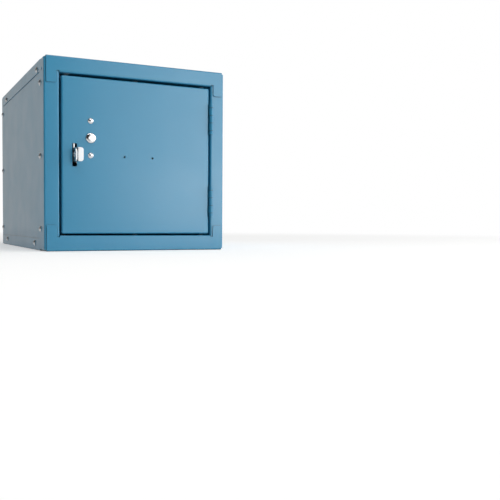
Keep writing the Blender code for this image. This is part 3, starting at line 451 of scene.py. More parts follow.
def combine(piece, other, operation="DIFFERENCE"):
    """Cut another object out of a piece, or join it on."""
    configure(piece.modifiers.new(other.name, "BOOLEAN"), operation=operation, solver="EXACT", object=other)


def add_cutter(name, bm):
    return add_object(name, to_mesh(name, bm), CUTTERS, parent=CABINET)


def block(low, high, bm=None):
    """A box between two corners, in a bmesh of its own or added to one."""
    low, high = Vector(low), Vector(high)
    bm = bm or bmesh.new()
    verts = bmesh.ops.create_cube(bm, size=1.0)["verts"]
    bmesh.ops.scale(bm, verts=verts, vec=high - low)
    bmesh.ops.translate(bm, verts=verts, vec=(low + high) / 2)
    return bm


def add_bar(bm, radius, length, steps, matrix):
    bmesh.ops.create_cone(bm, cap_ends=True, segments=steps, radius1=radius, radius2=radius,
                          depth=length, matrix=matrix)


def round_holes(name, places, axis, diameter, length, steps=BOLT_STEPS):
    """One cutter with a round bar at each place, along an axis, with its flats square to the sheets."""
    turn = Vector(UP).rotation_difference(Vector(axis)).to_matrix().to_4x4()
    turn = turn @ Matrix.Rotation(math.pi / steps, 4, "Z")
    bm = bmesh.new()
    for spot in places:
        add_bar(bm, diameter / 2, length, steps, Matrix.Translation(spot) @ turn)
    return add_cutter(name, bm)


def round_slot(name, centre, width, height, depth, through):
    """One cutter for an upright slot with rounded corners, cut along axis 0 (x) or 1 (y)."""
    span = [width, width, height]
    span[through] = depth
    half = Vector(span) / 2
    bm = block(Vector(centre) - half, Vector(centre) + half)
    along = [edge for edge in bm.edges
             if abs((edge.verts[0].co - edge.verts[1].co)[through]) > span[through] / 2]
    bevel(bm, along, SLOT_CORNER)
    return add_cutter(name, bm)


# Turned pieces: a profile of radius and height, from the top centre down the outer side, taken round

def dome(radius, height):
    """Profile of a dome from its top to its rim, which is at zero."""
    ball = (radius ** 2 + height ** 2) / (2 * height)
    reach = math.asin(radius / ball)
    angles = [reach * step / DOME_STEPS for step in range(DOME_STEPS + 1)]
    return [(ball * math.sin(angle), height - ball * (1 - math.cos(angle))) for angle in angles]


def turned(name, profile, steps=ROUND_STEPS, joined=None):
    """Mesh of a turned piece, with another helper object joined on where one is given."""
    outline = bmesh.new()
    verts = [outline.verts.new((radius, 0.0, height)) for radius, height in profile]
    for pair in zip(verts, verts[1:]):
        outline.edges.new(pair)
    helper = add_object(name, to_mesh(name, outline), CUTTERS)
    configure(helper.modifiers.new("turn", "SCREW"), axis="Z", steps=steps, render_steps=steps,
              use_merge_vertices=True, merge_threshold=MERGE)
    if joined:
        combine(helper, joined, "UNION")
    mesh = evaluated(helper)
    bpy.data.objects.remove(helper, do_unlink=True)
    mesh.shade_smooth()
    mesh.set_sharp_from_angle(angle=SMOOTH_ANGLE)
    return mesh


def bolt_mesh(stack):
    """Dome-headed bolt with its nut, for a stack of sheets; the head's underside is at zero."""
    nut_bm = bmesh.new()
    add_bar(nut_bm, NUT_WIDTH / math.sqrt(3), NUT_HEIGHT, NUT_SIDES,
            Matrix.Translation((0.0, 0.0, -stack - NUT_HEIGHT / 2)))
    nut = add_object("nut", to_mesh("nut", nut_bm), CUTTERS)
    end = stack + NUT_HEIGHT + BOLT_END
    profile = dome(BOLT_HEAD / 2, BOLT_HEAD_HEIGHT)
    profile += [(BOLT_SHANK / 2, 0.0), (BOLT_SHANK / 2, -end), (0.0, -end)]
    mesh = turned("bolt", profile, BOLT_STEPS, nut)
    bpy.data.objects.remove(nut, do_unlink=True)
    return mesh


def stack_of(*sheets):
    """Length from under a bolt's head to its nut, past sheets that keep the seat gap."""
    return sum(sheets) + SEAT_GAP * (len(sheets) + 1)


# Frame

def make_rail(name, level, turn, cutters):
    """One rail: outer flange, face with two ears, and the return flange behind the door."""
    section = bent([(FRAME_FLANGE, 0.0), (0.0, 0.0), (0.0, -RAIL_FACE), (RAIL_RETURN, -RAIL_FACE)],
                   FRAME_BEND, FRAME_SHEET, 1)
    places = (RAIL_INSET, EAR_WIDTH, RETURN_START, WIDTH / 2)
    bm = draw_along(section, "YZ", [spot - WIDTH / 2 for spot in places])
    fold = FRAME_BEND - RAIL_FACE
    drop_faces(bm, lambda at: at.x < RETURN_START - WIDTH / 2 and at.z < fold)
    ear = rim_edges(bm, lambda at: abs(at.z - fold) < MERGE and RAIL_INSET < at.x + WIDTH / 2 < EAR_WIDTH)
    extend(bm, ear, (0.0, 0.0, -EAR_DROP - FRAME_BEND))
    round_corner(bm, (EAR_WIDTH - WIDTH / 2, 0.0, -RAIL_FACE - EAR_DROP), EAR_CORNER)
    sheet_piece(name, bm, UP, FRAME_SHEET, cutters, location=(WIDTH / 2, 0.0, level), turn=turn,
                halved=True)


def make_stile(name, location, turn, cutters):
    """One stile: side flange, face, return, door stop and rear flange, cleared at both rails."""
    section = bent([(0.0, FRAME_FLANGE), (0.0, STILE_FRONT), (STILE_FACE, STILE_FRONT),
                    (STILE_FACE, STOP_DEPTH), (STILE_FACE + STOP_STEP, STOP_DEPTH),
                    (STILE_FACE + STOP_STEP, STILE_REAR_FACE),
                    (STILE_FACE + STOP_STEP + STILE_REAR_REACH, STILE_REAR_FACE)],
                   FRAME_BEND, FRAME_SHEET, 1)
    ends = (FRAME_BEND + SEAT_GAP, HEIGHT - FRAME_BEND - SEAT_GAP)
    clear = (RAIL_FACE + SEAT_GAP, HEIGHT - RAIL_FACE - SEAT_GAP)
    bm = draw_along(section, "XY", (ends[0], *clear, ends[1]))
    stop = STOP_DEPTH - FRAME_BEND + FRAME_SHEET
    drop_faces(bm, lambda at: at.x > EAR_WIDTH and at.y > stop and not clear[0] < at.z < clear[1])
    sheet_piece(name, bm, LEFT, FRAME_SHEET, cutters, location=location, turn=turn)


# Panels

def make_side_panel(name, outer, inner, holes):
    """Flat side sheet, drilled for every side bolt."""
    origin = (outer, SIDE_PANEL_START, PANEL_LOW)
    bm = block((min(outer, inner), SIDE_PANEL_START, PANEL_LOW), (max(outer, inner), PANEL_REAR, PANEL_HIGH))
    combine(place(name, to_mesh(name, bm, origin), origin, CABINET, "blue_paint"), holes)


def make_pan(name, level, turn, cutters):
    """Outer pan, level with the frame: side and rear flanges, and a front lip bolted to the rail."""
    left = PAN_OUT - WIDTH / 2
    section = bent([(left, -PAN_FLANGE), (left, 0.0), (0.0, 0.0)], PANEL_BEND, PANEL_SHEET, -1)
    lip_end = PAN_LIP_INSET - WIDTH / 2
    section[-1:-1] = [Vector((lip_end, 0.0)), Vector((lip_end + PAN_LIP_SLIT, 0.0))]
    fold = FRAME_FLANGE + SEAT_GAP
    front = fold + PANEL_BEND
    flange_rear = DEPTH - PAN_REAR_RELIEF
    rear = DEPTH - PANEL_BEND
    bm = draw_along(section, "XZ", (fold, front, flange_rear, rear))
    drop_faces(bm, lambda at: at.x > lip_end and at.y < front)
    drop_faces(bm, lambda at: at.x < left + PANEL_BEND and at.y > flange_rear)
    lip_level = -RAIL_FACE + FRAME_SHEET + SEAT_GAP + PANEL_SHEET
    lip = rim_edges(bm, lambda at: abs(at.y - front) < MERGE and at.x > lip_end + PAN_LIP_SLIT)
    path = [(front, 0.0), (fold, 0.0), (fold, lip_level), (PAN_LIP_FRONT, lip_level)]
    sweep_edges(bm, lip, "YZ", bent(path, PANEL_BEND, PANEL_SHEET, 1))
    back = rim_edges(bm, lambda at: abs(at.y - rear) < MERGE)
    path = [(rear, 0.0), (DEPTH, 0.0), (DEPTH, -PAN_FLANGE)]
    sweep_edges(bm, back, "YZ", bent(path, PANEL_BEND, PANEL_SHEET, -1))
    sheet_piece(name, bm, UP, PANEL_SHEET, cutters, location=(WIDTH / 2, 0.0, level), turn=turn,
                halved=True)


def make_floor_panel(cutters):
    """Raised floor, level with the rail's return flange, on two side flanges."""
    section = bent([(INNER_OUT, PANEL_LOW), (INNER_OUT, RAIL_FACE), (WIDTH - INNER_OUT, RAIL_FACE),
                    (WIDTH - INNER_OUT, PANEL_LOW)], PANEL_BEND, PANEL_SHEET, -1)
    flange_rear = PANEL_REAR - BACK_FLANGE - SEAT_GAP
    rear = PANEL_REAR - PANEL_SHEET - SEAT_GAP
    bm = draw_along(section, "XZ", (RAIL_RETURN + FLOOR_CLEARANCE, flange_rear, rear))
    drop_faces(bm, lambda at: at.y > flange_rear and at.z < RAIL_FACE - MERGE)
    sheet_piece("floor_panel", bm, UP, PANEL_SHEET, cutters)


def make_back_panel(cutters):
    """Back sheet with a forward flange along each side, standing above the floor."""
    flange_front = PANEL_REAR - BACK_FLANGE
    section = bent([(INNER_OUT, flange_front), (INNER_OUT, PANEL_REAR), (WIDTH - INNER_OUT, PANEL_REAR),
                    (WIDTH - INNER_OUT, flange_front)], PANEL_BEND, PANEL_SHEET, -1)
    flange_low = RAIL_FACE + SEAT_GAP
    bm = draw_along(section, "XY", (PANEL_LOW, flange_low, PANEL_HIGH))
    drop_faces(bm, lambda at: at.z < flange_low and at.y < PANEL_REAR - MERGE)
    sheet_piece("back_panel", bm, BACKWARD, PANEL_SHEET, cutters)


# Door and what rides on it

def make_door_panel(cutters):
    """Door pan: flanges on four sides, and a stiffening lip along the latch side."""
    bm = bmesh.new()
    bmesh.ops.create_grid(bm, x_segments=1, y_segments=1, size=0.5,
                          matrix=Matrix.Rotation(QUARTER, 4, "X"))
    bmesh.ops.scale(bm, verts=bm.verts, vec=(DOOR_RIGHT - DOOR_LEFT, 1.0, DOOR_HIGH - DOOR_LOW))
    bmesh.ops.translate(bm, verts=bm.verts,
                        vec=((DOOR_LEFT + DOOR_RIGHT) / 2, DOOR_FRONT, (DOOR_LOW + DOOR_HIGH) / 2))
    extend(bm, list(bm.edges), (0.0, DOOR_END_FLANGE, 0.0))
    bevel(bm, [edge for edge in bm.edges if not edge.is_boundary], DOOR_BEND)
    rim = DOOR_FRONT + DOOR_END_FLANGE
    rear = DOOR_FRONT + DOOR_FLANGE
    latch = rim_edges(bm, lambda at: abs(at.x - DOOR_LEFT) < MERGE)
    sweep_edges(bm, latch, "XY", bent([(DOOR_LEFT, rim), (DOOR_LEFT, rear), (DOOR_LEFT + DOOR_LIP, rear)],
                                      DOOR_BEND, FRAME_SHEET, -1))
    hinge = rim_edges(bm, lambda at: abs(at.x - DOOR_RIGHT) < MERGE)
    extend(bm, hinge, (0.0, rear - rim, 0.0))
    sheet_piece("door_panel", bm, FORWARD, FRAME_SHEET, cutters, on_door=True)


def door_slits():
    """One cutter for the open joints between the door's flanges at its four corners."""
    bm = bmesh.new()
    front = DOOR_FRONT + DOOR_BEND
    rear = DOOR_FRONT + DOOR_FLANGE + OVERRUN
    for x in (DOOR_LEFT + DOOR_BEND, DOOR_RIGHT - DOOR_BEND):
        for edge, inner in ((DOOR_LOW, DOOR_LOW + DOOR_BEND), (DOOR_HIGH, DOOR_HIGH - DOOR_BEND)):
            outer = edge + math.copysign(OVERRUN, edge - inner)
            block((x - DOOR_SLIT / 2, front, min(outer, inner)),
                  (x + DOOR_SLIT / 2, rear, max(outer, inner)), bm)
    return add_cutter("door_slits", bm)


def hinge_notch(name, level):
    """Cutter that sets the door's hinge edge back beside one hinge."""
    half = HINGE_LENGTH / 2 + HINGE_NOTCH_MARGIN
    return add_cutter(name, block((DOOR_RIGHT - HINGE_NOTCH, DOOR_FRONT - OVERRUN, level - half),
                                  (DOOR_RIGHT + OVERRUN, HINGE_NOTCH_DEPTH, level + half)))


def make_latch_plate(cutters):
    """Latch plate: flat behind the door, a web through the slot, and the finger pull outside."""
    ends = (LATCH_PLATE_LOW, LATCH_PLATE_LOW + LATCH_PLATE_HEIGHT)
    section = bent([(LATCH_PLATE_RIGHT, LATCH_REAR), (WEB_LEFT, LATCH_REAR), (WEB_LEFT, -PULL_REACH),
                    (WEB_LEFT + PULL_WIDTH, -PULL_REACH)], LATCH_BEND, LATCH_SHEET, -1)
    section.insert(1, Vector((LATCH_PLATE_LEFT, LATCH_REAR)))
    bm = draw_along(section, "XY", (ends[0], TONGUE_LOW, TONGUE_HIGH, ends[1]))
    fold = WEB_LEFT + LATCH_BEND
    drop_faces(bm, lambda at: at.x < LATCH_PLATE_LEFT and at.z > TONGUE_HIGH)
    drop_faces(bm, lambda at: (at.x < fold or at.y < DOOR_FRONT) and at.z < TONGUE_LOW)
    for level in (TONGUE_LOW, TONGUE_HIGH):
        round_corner(bm, (WEB_LEFT + PULL_WIDTH, -PULL_REACH, level), PULL_CORNER)
    for level in ends:
        round_corner(bm, (LATCH_PLATE_RIGHT, LATCH_REAR, level), LATCH_PLATE_CORNER)
    sheet_piece("latch_plate", bm, BACKWARD, LATCH_SHEET, cutters, "zinc_plate", on_door=True)


def clinched(name, head, neck, tail, dimple=None, bore=0.0):
    """Rivet or plug: a neck through the sheets, a formed tail behind them, and a head in front.

    The head is a dome, or it has a flat dimple inside a shoulder that is rounded down to its rim.
    """
    (head_width, head_height), (tail_width, tail_height) = head, tail
    grip = FRAME_SHEET + LATCH_SHEET + 3 * SEAT_GAP
    profile = dome(head_width / 2, head_height)
    if dimple:
        width, depth = dimple
        profile = [(0.0, head_height - depth), (width / 2 - depth, head_height - depth)]
        turns = [QUARTER * step / DOME_STEPS for step in range(DOME_STEPS + 1)]
        profile += [(width / 2 + (head_width - width) / 2 * math.sin(turn),
                     PLUG_RIM + (head_height - PLUG_RIM) * math.cos(turn)) for turn in turns]
        profile.append((head_width / 2, 0.0))
    profile += [(neck / 2, 0.0), (neck / 2, -grip),
                (tail_width / 2, -grip), (tail_width / 2, -grip - tail_height / 2),
                (tail_width / 2 - tail_height / 2, -grip - tail_height)]
    if bore:
        profile += [(bore / 2, -grip - tail_height), (bore / 2, -grip), (0.0, -grip)]
    else:
        profile.append((0.0, -grip - tail_height))
    return turned(name, profile)


def make_strike_bracket(cutters):
    """Angle bracket behind the latch stile, with the tongue that meets the latch plate's web."""
    rear = STILE_RETURN + SEAT_GAP + STRIKE_SHEET
    top = TONGUE_LOW + STRIKE_HEIGHT
    section = bent([(STILE_FACE + STOP_STEP, rear), (STRIKE_OFFSET, rear), (STRIKE_OFFSET, STRIKE_FRONT)],
                   LATCH_BEND, STRIKE_SHEET, -1)
    bm = draw_along(section, "XY", (TONGUE_LOW, TONGUE_HIGH, top))
    tongue = rim_edges(bm, lambda at: abs(at.y - STRIKE_FRONT) < MERGE and at.z < TONGUE_HIGH)
    extend(bm, tongue, (0.0, -TONGUE_REACH - STRIKE_FRONT, 0.0))
    round_corner(bm, (STRIKE_OFFSET, -TONGUE_REACH, TONGUE_LOW), TONGUE_LOW_CORNER)
    round_corner(bm, (STRIKE_OFFSET, -TONGUE_REACH, TONGUE_HIGH), TONGUE_TOP_CORNER)
    round_corner(bm, (STRIKE_OFFSET, STRIKE_FRONT, top), STRIKE_CORNER)
    sheet_piece("strike_bracket", bm, RIGHT, STRIKE_SHEET, cutters, "zinc_plate")


# Hinges: each leaf is one sheet whose front edge curls round the pin as knuckles

def knuckle_stations(level):
    """Heights along a hinge: its ends and both sides of each joint between knuckles."""
    low = level - HINGE_LENGTH / 2
    stations = [low]
    for share in KNUCKLE_SHARES:
        joint = low + share * HINGE_LENGTH
        stations += [joint - KNUCKLE_GAP / 2, joint + KNUCKLE_GAP / 2]
    return stations + [low + HINGE_LENGTH]


def curl():
    """Points round the pin, from the leaf's face forwards and back towards the frame."""
    angles = [math.pi + CURL_ANGLE * step / CURL_STEPS for step in range(1, CURL_STEPS + 1)]
    return [Vector((AXIS_X + KNUCKLE_RADIUS * math.cos(angle), AXIS_Y + KNUCKLE_RADIUS * math.sin(angle)))
            for angle in angles]


def make_leaf(name, run, level, on_door):
    """One hinge leaf: the door's carries knuckles 1 and 3 of the five, and the frame's 0, 2 and 4."""
    stations = knuckle_stations(level)
    held = [(stations[2 * knuckle], stations[2 * knuckle + 1])
            for knuckle in range(int(on_door), len(KNUCKLE_SHARES) + 1, 2)]
    bm = draw_along(run + curl(), "XY", stations)
    drop_faces(bm, lambda at: at.y < LEAF_NOTCH + MERGE and not any(low < at.z < high for low, high in held))
    sheet_piece(name, bm, LEFT, LEAF_SHEET, on_door=on_door)


def make_hinge(side, level):
    """Frame leaf, door leaf, and pin with a collar in each joint between the knuckles."""
    joggled = bent([(FRAME_LEAF_OUT, LEAF_NOTCH), (FRAME_LEAF_OUT, JOGGLE_START), (LEAF_OUT, JOGGLE_END),
                    (LEAF_OUT, AXIS_Y)], JOGGLE_BEND, 0.0, 1)
    joggled.insert(0, Vector((FRAME_LEAF_OUT, LEAF_END)))
    make_leaf(f"hinge_frame_leaf_{side}", joggled, level, False)
    straight = [Vector((LEAF_OUT, y)) for y in (LEAF_END, LEAF_NOTCH, AXIS_Y)]
    make_leaf(f"hinge_door_leaf_{side}", straight, level, True)
    radius = KNUCKLE_RADIUS - LEAF_SHEET - SEAT_GAP
    half = HINGE_LENGTH / 2
    # The collars, in the pins' darker paint, put painted shade into the joints between the knuckles
    collar = KNUCKLE_RADIUS - JOINT_CLEARANCE
    profile = [(0.0, half), (radius - SEAT_GAP, half), (radius, half - SEAT_GAP)]
    for share in reversed(KNUCKLE_SHARES):
        above = (share - 0.5) * HINGE_LENGTH + KNUCKLE_GAP / 2 - JOINT_CLEARANCE
        below = above - KNUCKLE_GAP + 2 * JOINT_CLEARANCE
        profile += [(radius, above), (collar, above), (collar, below), (radius, below)]
    profile += [(radius, SEAT_GAP - half), (radius - SEAT_GAP, -half), (0.0, -half)]
    name = f"hinge_pin_{side}"
    place(name, turned(name, profile), (AXIS_X, AXIS_Y, level), CABINET, "blue_paint")


# Bumpers

def make_bumper(name, width, length, sheets, spot, turn):
    """Nylon bumper: a round-ended button on a shank, with a barb behind the sheets."""
    grip = stack_of(*sheets)
    radius = width / 2
    angles = [QUARTER * step / BEND_STEPS for step in range(BEND_STEPS + 1)]
    profile = [(0.0, length)]
    profile += [(radius / 2 + radius / 2 * math.sin(angle), length - radius / 2 * (1 - math.cos(angle)))
                for angle in angles]
    profile += [(radius, 0.0), (BUMPER_SHANK / 2, 0.0), (BUMPER_SHANK / 2, -grip),
                (BUMPER_BARB / 2, -grip), (BUMPER_SHANK / 2, -grip - BUMPER_BARB_HEIGHT),
                (0.0, -grip - BUMPER_BARB_HEIGHT)]
    place(name, turned(name, profile), spot, CABINET, "white_nylon", turn)


# Bolts

def column(depth, low, high):
    """Three places up the side: two end ones and one half-way."""
    return [(depth, height) for height in (low, (low + high) / 2, high)]


def side_bolts(side):
    """Places of one side's bolts: name, group, position of the head's seat, and the sheets held."""
    groups = {
        "front": (0.0, (FRAME_SHEET, PANEL_SHEET),
                  column(FRONT_COLUMN_DEPTH, FRONT_COLUMN_RISE, HEIGHT - FRONT_COLUMN_DROP)),
        "rear": (PANEL_OUT, (PANEL_SHEET,) * 2,
                 column(DEPTH - REAR_COLUMN_INSET, REAR_COLUMN_RISE, HEIGHT - REAR_COLUMN_DROP)),
        "top": (PAN_OUT, (PANEL_SHEET,) * 2,
                [(depth, HEIGHT - HIGH_STRIP_DROP) for depth in (HIGH_STRIP_DEPTH, DEPTH - HIGH_STRIP_INSET)]),
        "bottom": (PAN_OUT, (PANEL_SHEET,) * 3,
                   [(depth, LOW_STRIP_RISE) for depth in (LOW_STRIP_DEPTH, DEPTH - LOW_STRIP_INSET)]),
    }
    for group, (surface, sheets, places) in groups.items():
        seat = surface - SEAT_GAP
        x = seat if side == "left" else WIDTH - seat
        for number, (depth, height) in enumerate(places, 1):
            yield f"bolt_{side}_{group}_{number}", group, (x, depth, height), sheets


def make_bolts():
    """All bolts; those that hold the same stack of sheets share one mesh."""
    meshes = {}

    def make_bolt(name, sheets, spot, turn=ZERO):
        if sheets not in meshes:
            meshes[sheets] = bolt_mesh(stack_of(*sheets))
        place(name, meshes[sheets], spot, CABINET, "zinc_plate", turn)

    for side, tilt in (("left", -QUARTER), ("right", QUARTER)):
        for name, _, spot, sheets in side_bolts(side):
            make_bolt(name, sheets, spot, (0.0, tilt, 0.0))
    held = (FRAME_SHEET, PANEL_SHEET)
    for number, x in enumerate(RAIL_BOLTS, 1):
        make_bolt(f"bolt_bottom_rail_{number}", held, (x, RAIL_BOLT_DEPTH, RAIL_FACE + SEAT_GAP))
    for number, x in enumerate(RAIL_BOLTS[1:], 1):
        make_bolt(f"bolt_top_rail_{number}", held, (x, RAIL_BOLT_DEPTH, HIGH_SEAT), (2 * QUARTER, 0.0, 0.0))


def side_holes(name, *groups):
    """One cutter for the bolt holes of some groups, on both sides of the cabinet."""
    places = [spot for side in ("left", "right") for _, group, spot, _ in side_bolts(side) if group in groups]
    places = [(0.0 if x < WIDTH / 2 else WIDTH, y, z) for x, y, z in places]
    return round_holes(name, places, RIGHT, BOLT_HOLE, 4 * (INNER_OUT + OVERRUN))


def rail_holes(name, level, diameter, places):
    """One cutter for upright holes through a rail's return, or the floor, and what it holds."""
    return round_holes(name, [(*spot, level) for spot in places], UP, diameter, 2 * (RAIL_FACE - OVERRUN))


def build_cabinet():
    high, thin = HEIGHT - RAIL_FACE, 2 * (FRAME_SHEET + OVERRUN)
    bolts = [(x, RAIL_BOLT_DEPTH) for x in RAIL_BOLTS]
    low_holes = rail_holes("low_rail_holes", RAIL_FACE, BOLT_HOLE, bolts)
    high_holes = rail_holes("high_rail_holes", high, BOLT_HOLE, bolts[1:])
    high_bumper = (HIGH_BUMPER_OFFSET, HIGH_BUMPER_DEPTH)
    bumper_hole = rail_holes("high_bumper_hole", high, BUMPER_HOLE, [high_bumper])
    make_rail("frame_top_rail", HEIGHT, ZERO, (high_holes, bumper_hole))
    make_rail("frame_bottom_rail", 0.0, OVER, (low_holes,))

    front_holes = side_holes("front_column_holes", "front")
    top_strip = side_holes("top_strip_holes", "top")
    low_strip = side_holes("low_strip_holes", "bottom")
    all_holes = side_holes("side_panel_holes", "front", "rear", "top", "bottom")
    spare = round_holes("spare_holes", [(x, SPARE_HOLE_DEPTH, HEIGHT - SPARE_HOLE_DROP) for x in (0.0, WIDTH)],
                        RIGHT, SPARE_HOLE, thin)
    low_bumper = (LOW_BUMPER_DEPTH, LATCH_LEVEL - LOW_BUMPER_DROP)
    pin_hole = round_holes("low_bumper_hole", [(STILE_FACE + STOP_STEP, *low_bumper)],
                           RIGHT, BUMPER_HOLE, thin)
    make_stile("frame_latch_stile", ZERO, ZERO, (front_holes, spare, pin_hole))
    make_stile("frame_hinge_stile", (WIDTH, 0.0, HEIGHT), OVER, (front_holes, spare))

    make_side_panel("side_panel_left", PANEL_OUT, PANEL_OUT + PANEL_SHEET, all_holes)
    make_side_panel("side_panel_right", WIDTH - PANEL_OUT, WIDTH - PANEL_OUT - PANEL_SHEET, all_holes)
    make_pan("top_panel", HEIGHT, ZERO, (top_strip, high_holes, bumper_hole))
    make_pan("bottom_panel", 0.0, OVER, (low_strip, low_holes))
    floor_holes = rail_holes("floor_holes", RAIL_FACE, FLOOR_HOLE,
                             [(x, FLOOR_HOLE_DEPTH) for x in about_middle(FLOOR_HOLE_PITCH)])
    make_floor_panel((low_strip, floor_holes))
    make_back_panel((side_holes("rear_column_holes", "rear"),))

    depth = 2 * (STRIKE_SHEET + OVERRUN)
    padlock = round_holes("strike_padlock_hole", [(STRIKE_OFFSET, -PADLOCK_REACH, LATCH_LEVEL)],
                          RIGHT, PADLOCK_HOLE, depth, ROUND_STEPS)
    window = round_slot("strike_slot", (STRIKE_OFFSET, STRIKE_SLOT_DEPTH, LATCH_LEVEL + STRIKE_SLOT_RISE),
                        STRIKE_SLOT_WIDTH, STRIKE_SLOT_HEIGHT, depth, 0)
    make_strike_bracket((padlock, window))
    make_bumper("door_bumper_upper", HIGH_BUMPER, HIGH_BUMPER_LENGTH, (FRAME_SHEET, PANEL_SHEET),
                (*high_bumper, HIGH_SEAT), (2 * QUARTER, 0.0, 0.0))
    make_bumper("door_bumper_lower", LOW_BUMPER, LOW_BUMPER_LENGTH, (FRAME_SHEET,),
                (STILE_FACE + STOP_STEP + SEAT_GAP, *low_bumper), (0.0, QUARTER, 0.0))
    make_bolts()


def about_middle(pitch):
    """Two places across the cabinet, a pitch apart."""
    return (WIDTH / 2 - pitch / 2, WIDTH / 2 + pitch / 2)


def build_door():
    def holes(name, places, diameter, steps=ROUND_STEPS):
        """Round holes through the door and what lies behind it."""
        spots = [(x, DOOR_FRONT, level) for x, level in places]
        return round_holes(name, spots, BACKWARD, diameter, 2 * (DOOR_FLANGE - OVERRUN), steps)

    levels = {"latch_rivet_upper": LATCH_LEVEL + RIVET_PITCH, "latch_rivet_lower": LATCH_LEVEL,
              "lock_hole_plug": LATCH_LEVEL + RIVET_PITCH / 2}
    upper, lower, between = ((RIVET_OFFSET, level) for level in levels.values())
    rivet_holes = holes("rivet_holes", [upper, lower], RIVET_SHANK + 2 * SEAT_GAP)
    plug_hole = holes("plug_hole", [between], PLUG_NECK + 2 * SEAT_GAP)
    plate_holes = holes("door_plate_holes", [(x, LATCH_LEVEL) for x in about_middle(PLATE_HOLE_PITCH)],
                        PLATE_HOLE, BOLT_STEPS)
    slot = round_slot("door_slot", (SLOT_MIDDLE, DOOR_FRONT, LATCH_LEVEL), SLOT_WIDTH, SLOT_HEIGHT,
                      2 * (FRAME_SHEET + OVERRUN), 1)
    notches = [hinge_notch(f"hinge_notch_{number}", level) for number, level in enumerate(HINGE_LEVELS, 1)]
    make_door_panel((door_slits(), slot, plate_holes, rivet_holes, plug_hole, *notches))
    padlock = round_holes("web_padlock_hole", [(WEB_LEFT, -PADLOCK_REACH, LATCH_LEVEL)],
                          RIGHT, PADLOCK_HOLE, 2 * (LATCH_SHEET + OVERRUN), ROUND_STEPS)
    make_latch_plate((rivet_holes, plug_hole, padlock))
    rivet = clinched("latch_rivet", (RIVET_HEAD, RIVET_HEAD_HEIGHT), RIVET_SHANK,
                     (RIVET_TAIL, RIVET_TAIL_HEIGHT))
    plug = clinched("lock_hole_plug", (PLUG_HEAD, PLUG_HEAD_HEIGHT), PLUG_NECK,
                    (PLUG_RING, PLUG_RING_HEIGHT), (PLUG_DIMPLE, PLUG_DIMPLE_DEPTH), PLUG_BORE)
    for (name, level), mesh in zip(levels.items(), (rivet, rivet, plug)):
        location = (RIVET_OFFSET - AXIS_X, DOOR_FRONT - SEAT_GAP - AXIS_Y, level)
        place(name, mesh, location, DOOR, "bright_chrome", (QUARTER, 0.0, 0.0))


def settle(name, draft, finish):
    """Turn a draft into the piece that shows: cut edges softened, in place, on its body."""
    configure(draft.modifiers.new("edge", "BEVEL"), width=EDGE_ROUND, segments=EDGE_STEPS,
              limit_method="ANGLE", angle_limit=EDGE_ANGLE, use_clamp_overlap=False)
    draft.modifiers.new("normals", "WEIGHTED_NORMAL").keep_sharp = True
    mesh = evaluated(draft)
    mesh.transform(draft.matrix_world)
    mesh.materials.clear()
    # Hinge pins take the darker copy of the paint: painted shade for the joints between the knuckles
    mesh.materials.append(MATERIALS["joint_shade_paint" if name in PINS else finish])
    piece = add_object("fine_" + name, mesh, SCENE)
    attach(piece, "door" if draft.parent == DOOR else "cabinet")
    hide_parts(name)


# Materials and the surround: trees of nodes, with detail of real sizes

class Tree:
    """The nodes of a material or of the world."""

    def __init__(self, owner):
        owner.use_nodes = True
        self.nodes, self.links = owner.node_tree.nodes, owner.node_tree.links

    def feed(self, node, inputs):
        """Set each input to its constant, or link it to the output that is given."""
        for socket, value in inputs.items():
            if isinstance(value, bpy.types.NodeSocket):
                self.links.new(value, node.inputs[socket])
            else:
                node.inputs[socket].default_value = value

    def add(self, kind, inputs, output, **settings):
        """One output of a new node."""
        node = configure(self.nodes.new("ShaderNode" + kind), **settings)
        self.feed(node, inputs)
        return node.outputs[output]

    def between(self, value, span, out=(0.0, 1.0)):
        """Carry a value from one span to another, held at both ends."""
        return self.add("MapRange", {"Value": value, "From Min": span[0], "From Max": span[1],
                                               "To Min": out[0], "To Max": out[1]}, "Result")

    def product(self, first, second):
        return self.add("Math", {0: first, 1: second}, "Value", operation="MULTIPLY")

    def dot(self, first, second):
        return self.add("VectorMath", {0: first, 1: second}, "Value", operation="DOT_PRODUCT")

    def held_back(self, direction, full, held):
        """A strength by direction: held in the dim sector on the left, full outside it, with a fade."""
        dim = math.radians(DIM_AZIMUTH)
        toward = self.dot(direction, (math.sin(dim), -math.cos(dim), 0.0))
        return self.between(toward, [math.cos(math.radians(angle)) for angle in DIM_SPREAD], (full, held))

    def seen_or_lit(self, lit):
        """1 for what the camera looks at directly, and otherwise the strength that is given."""
        return self.between(self.add("LightPath", {}, "Is Camera Ray"), (0.0, 1.0), (lit, 1.0))


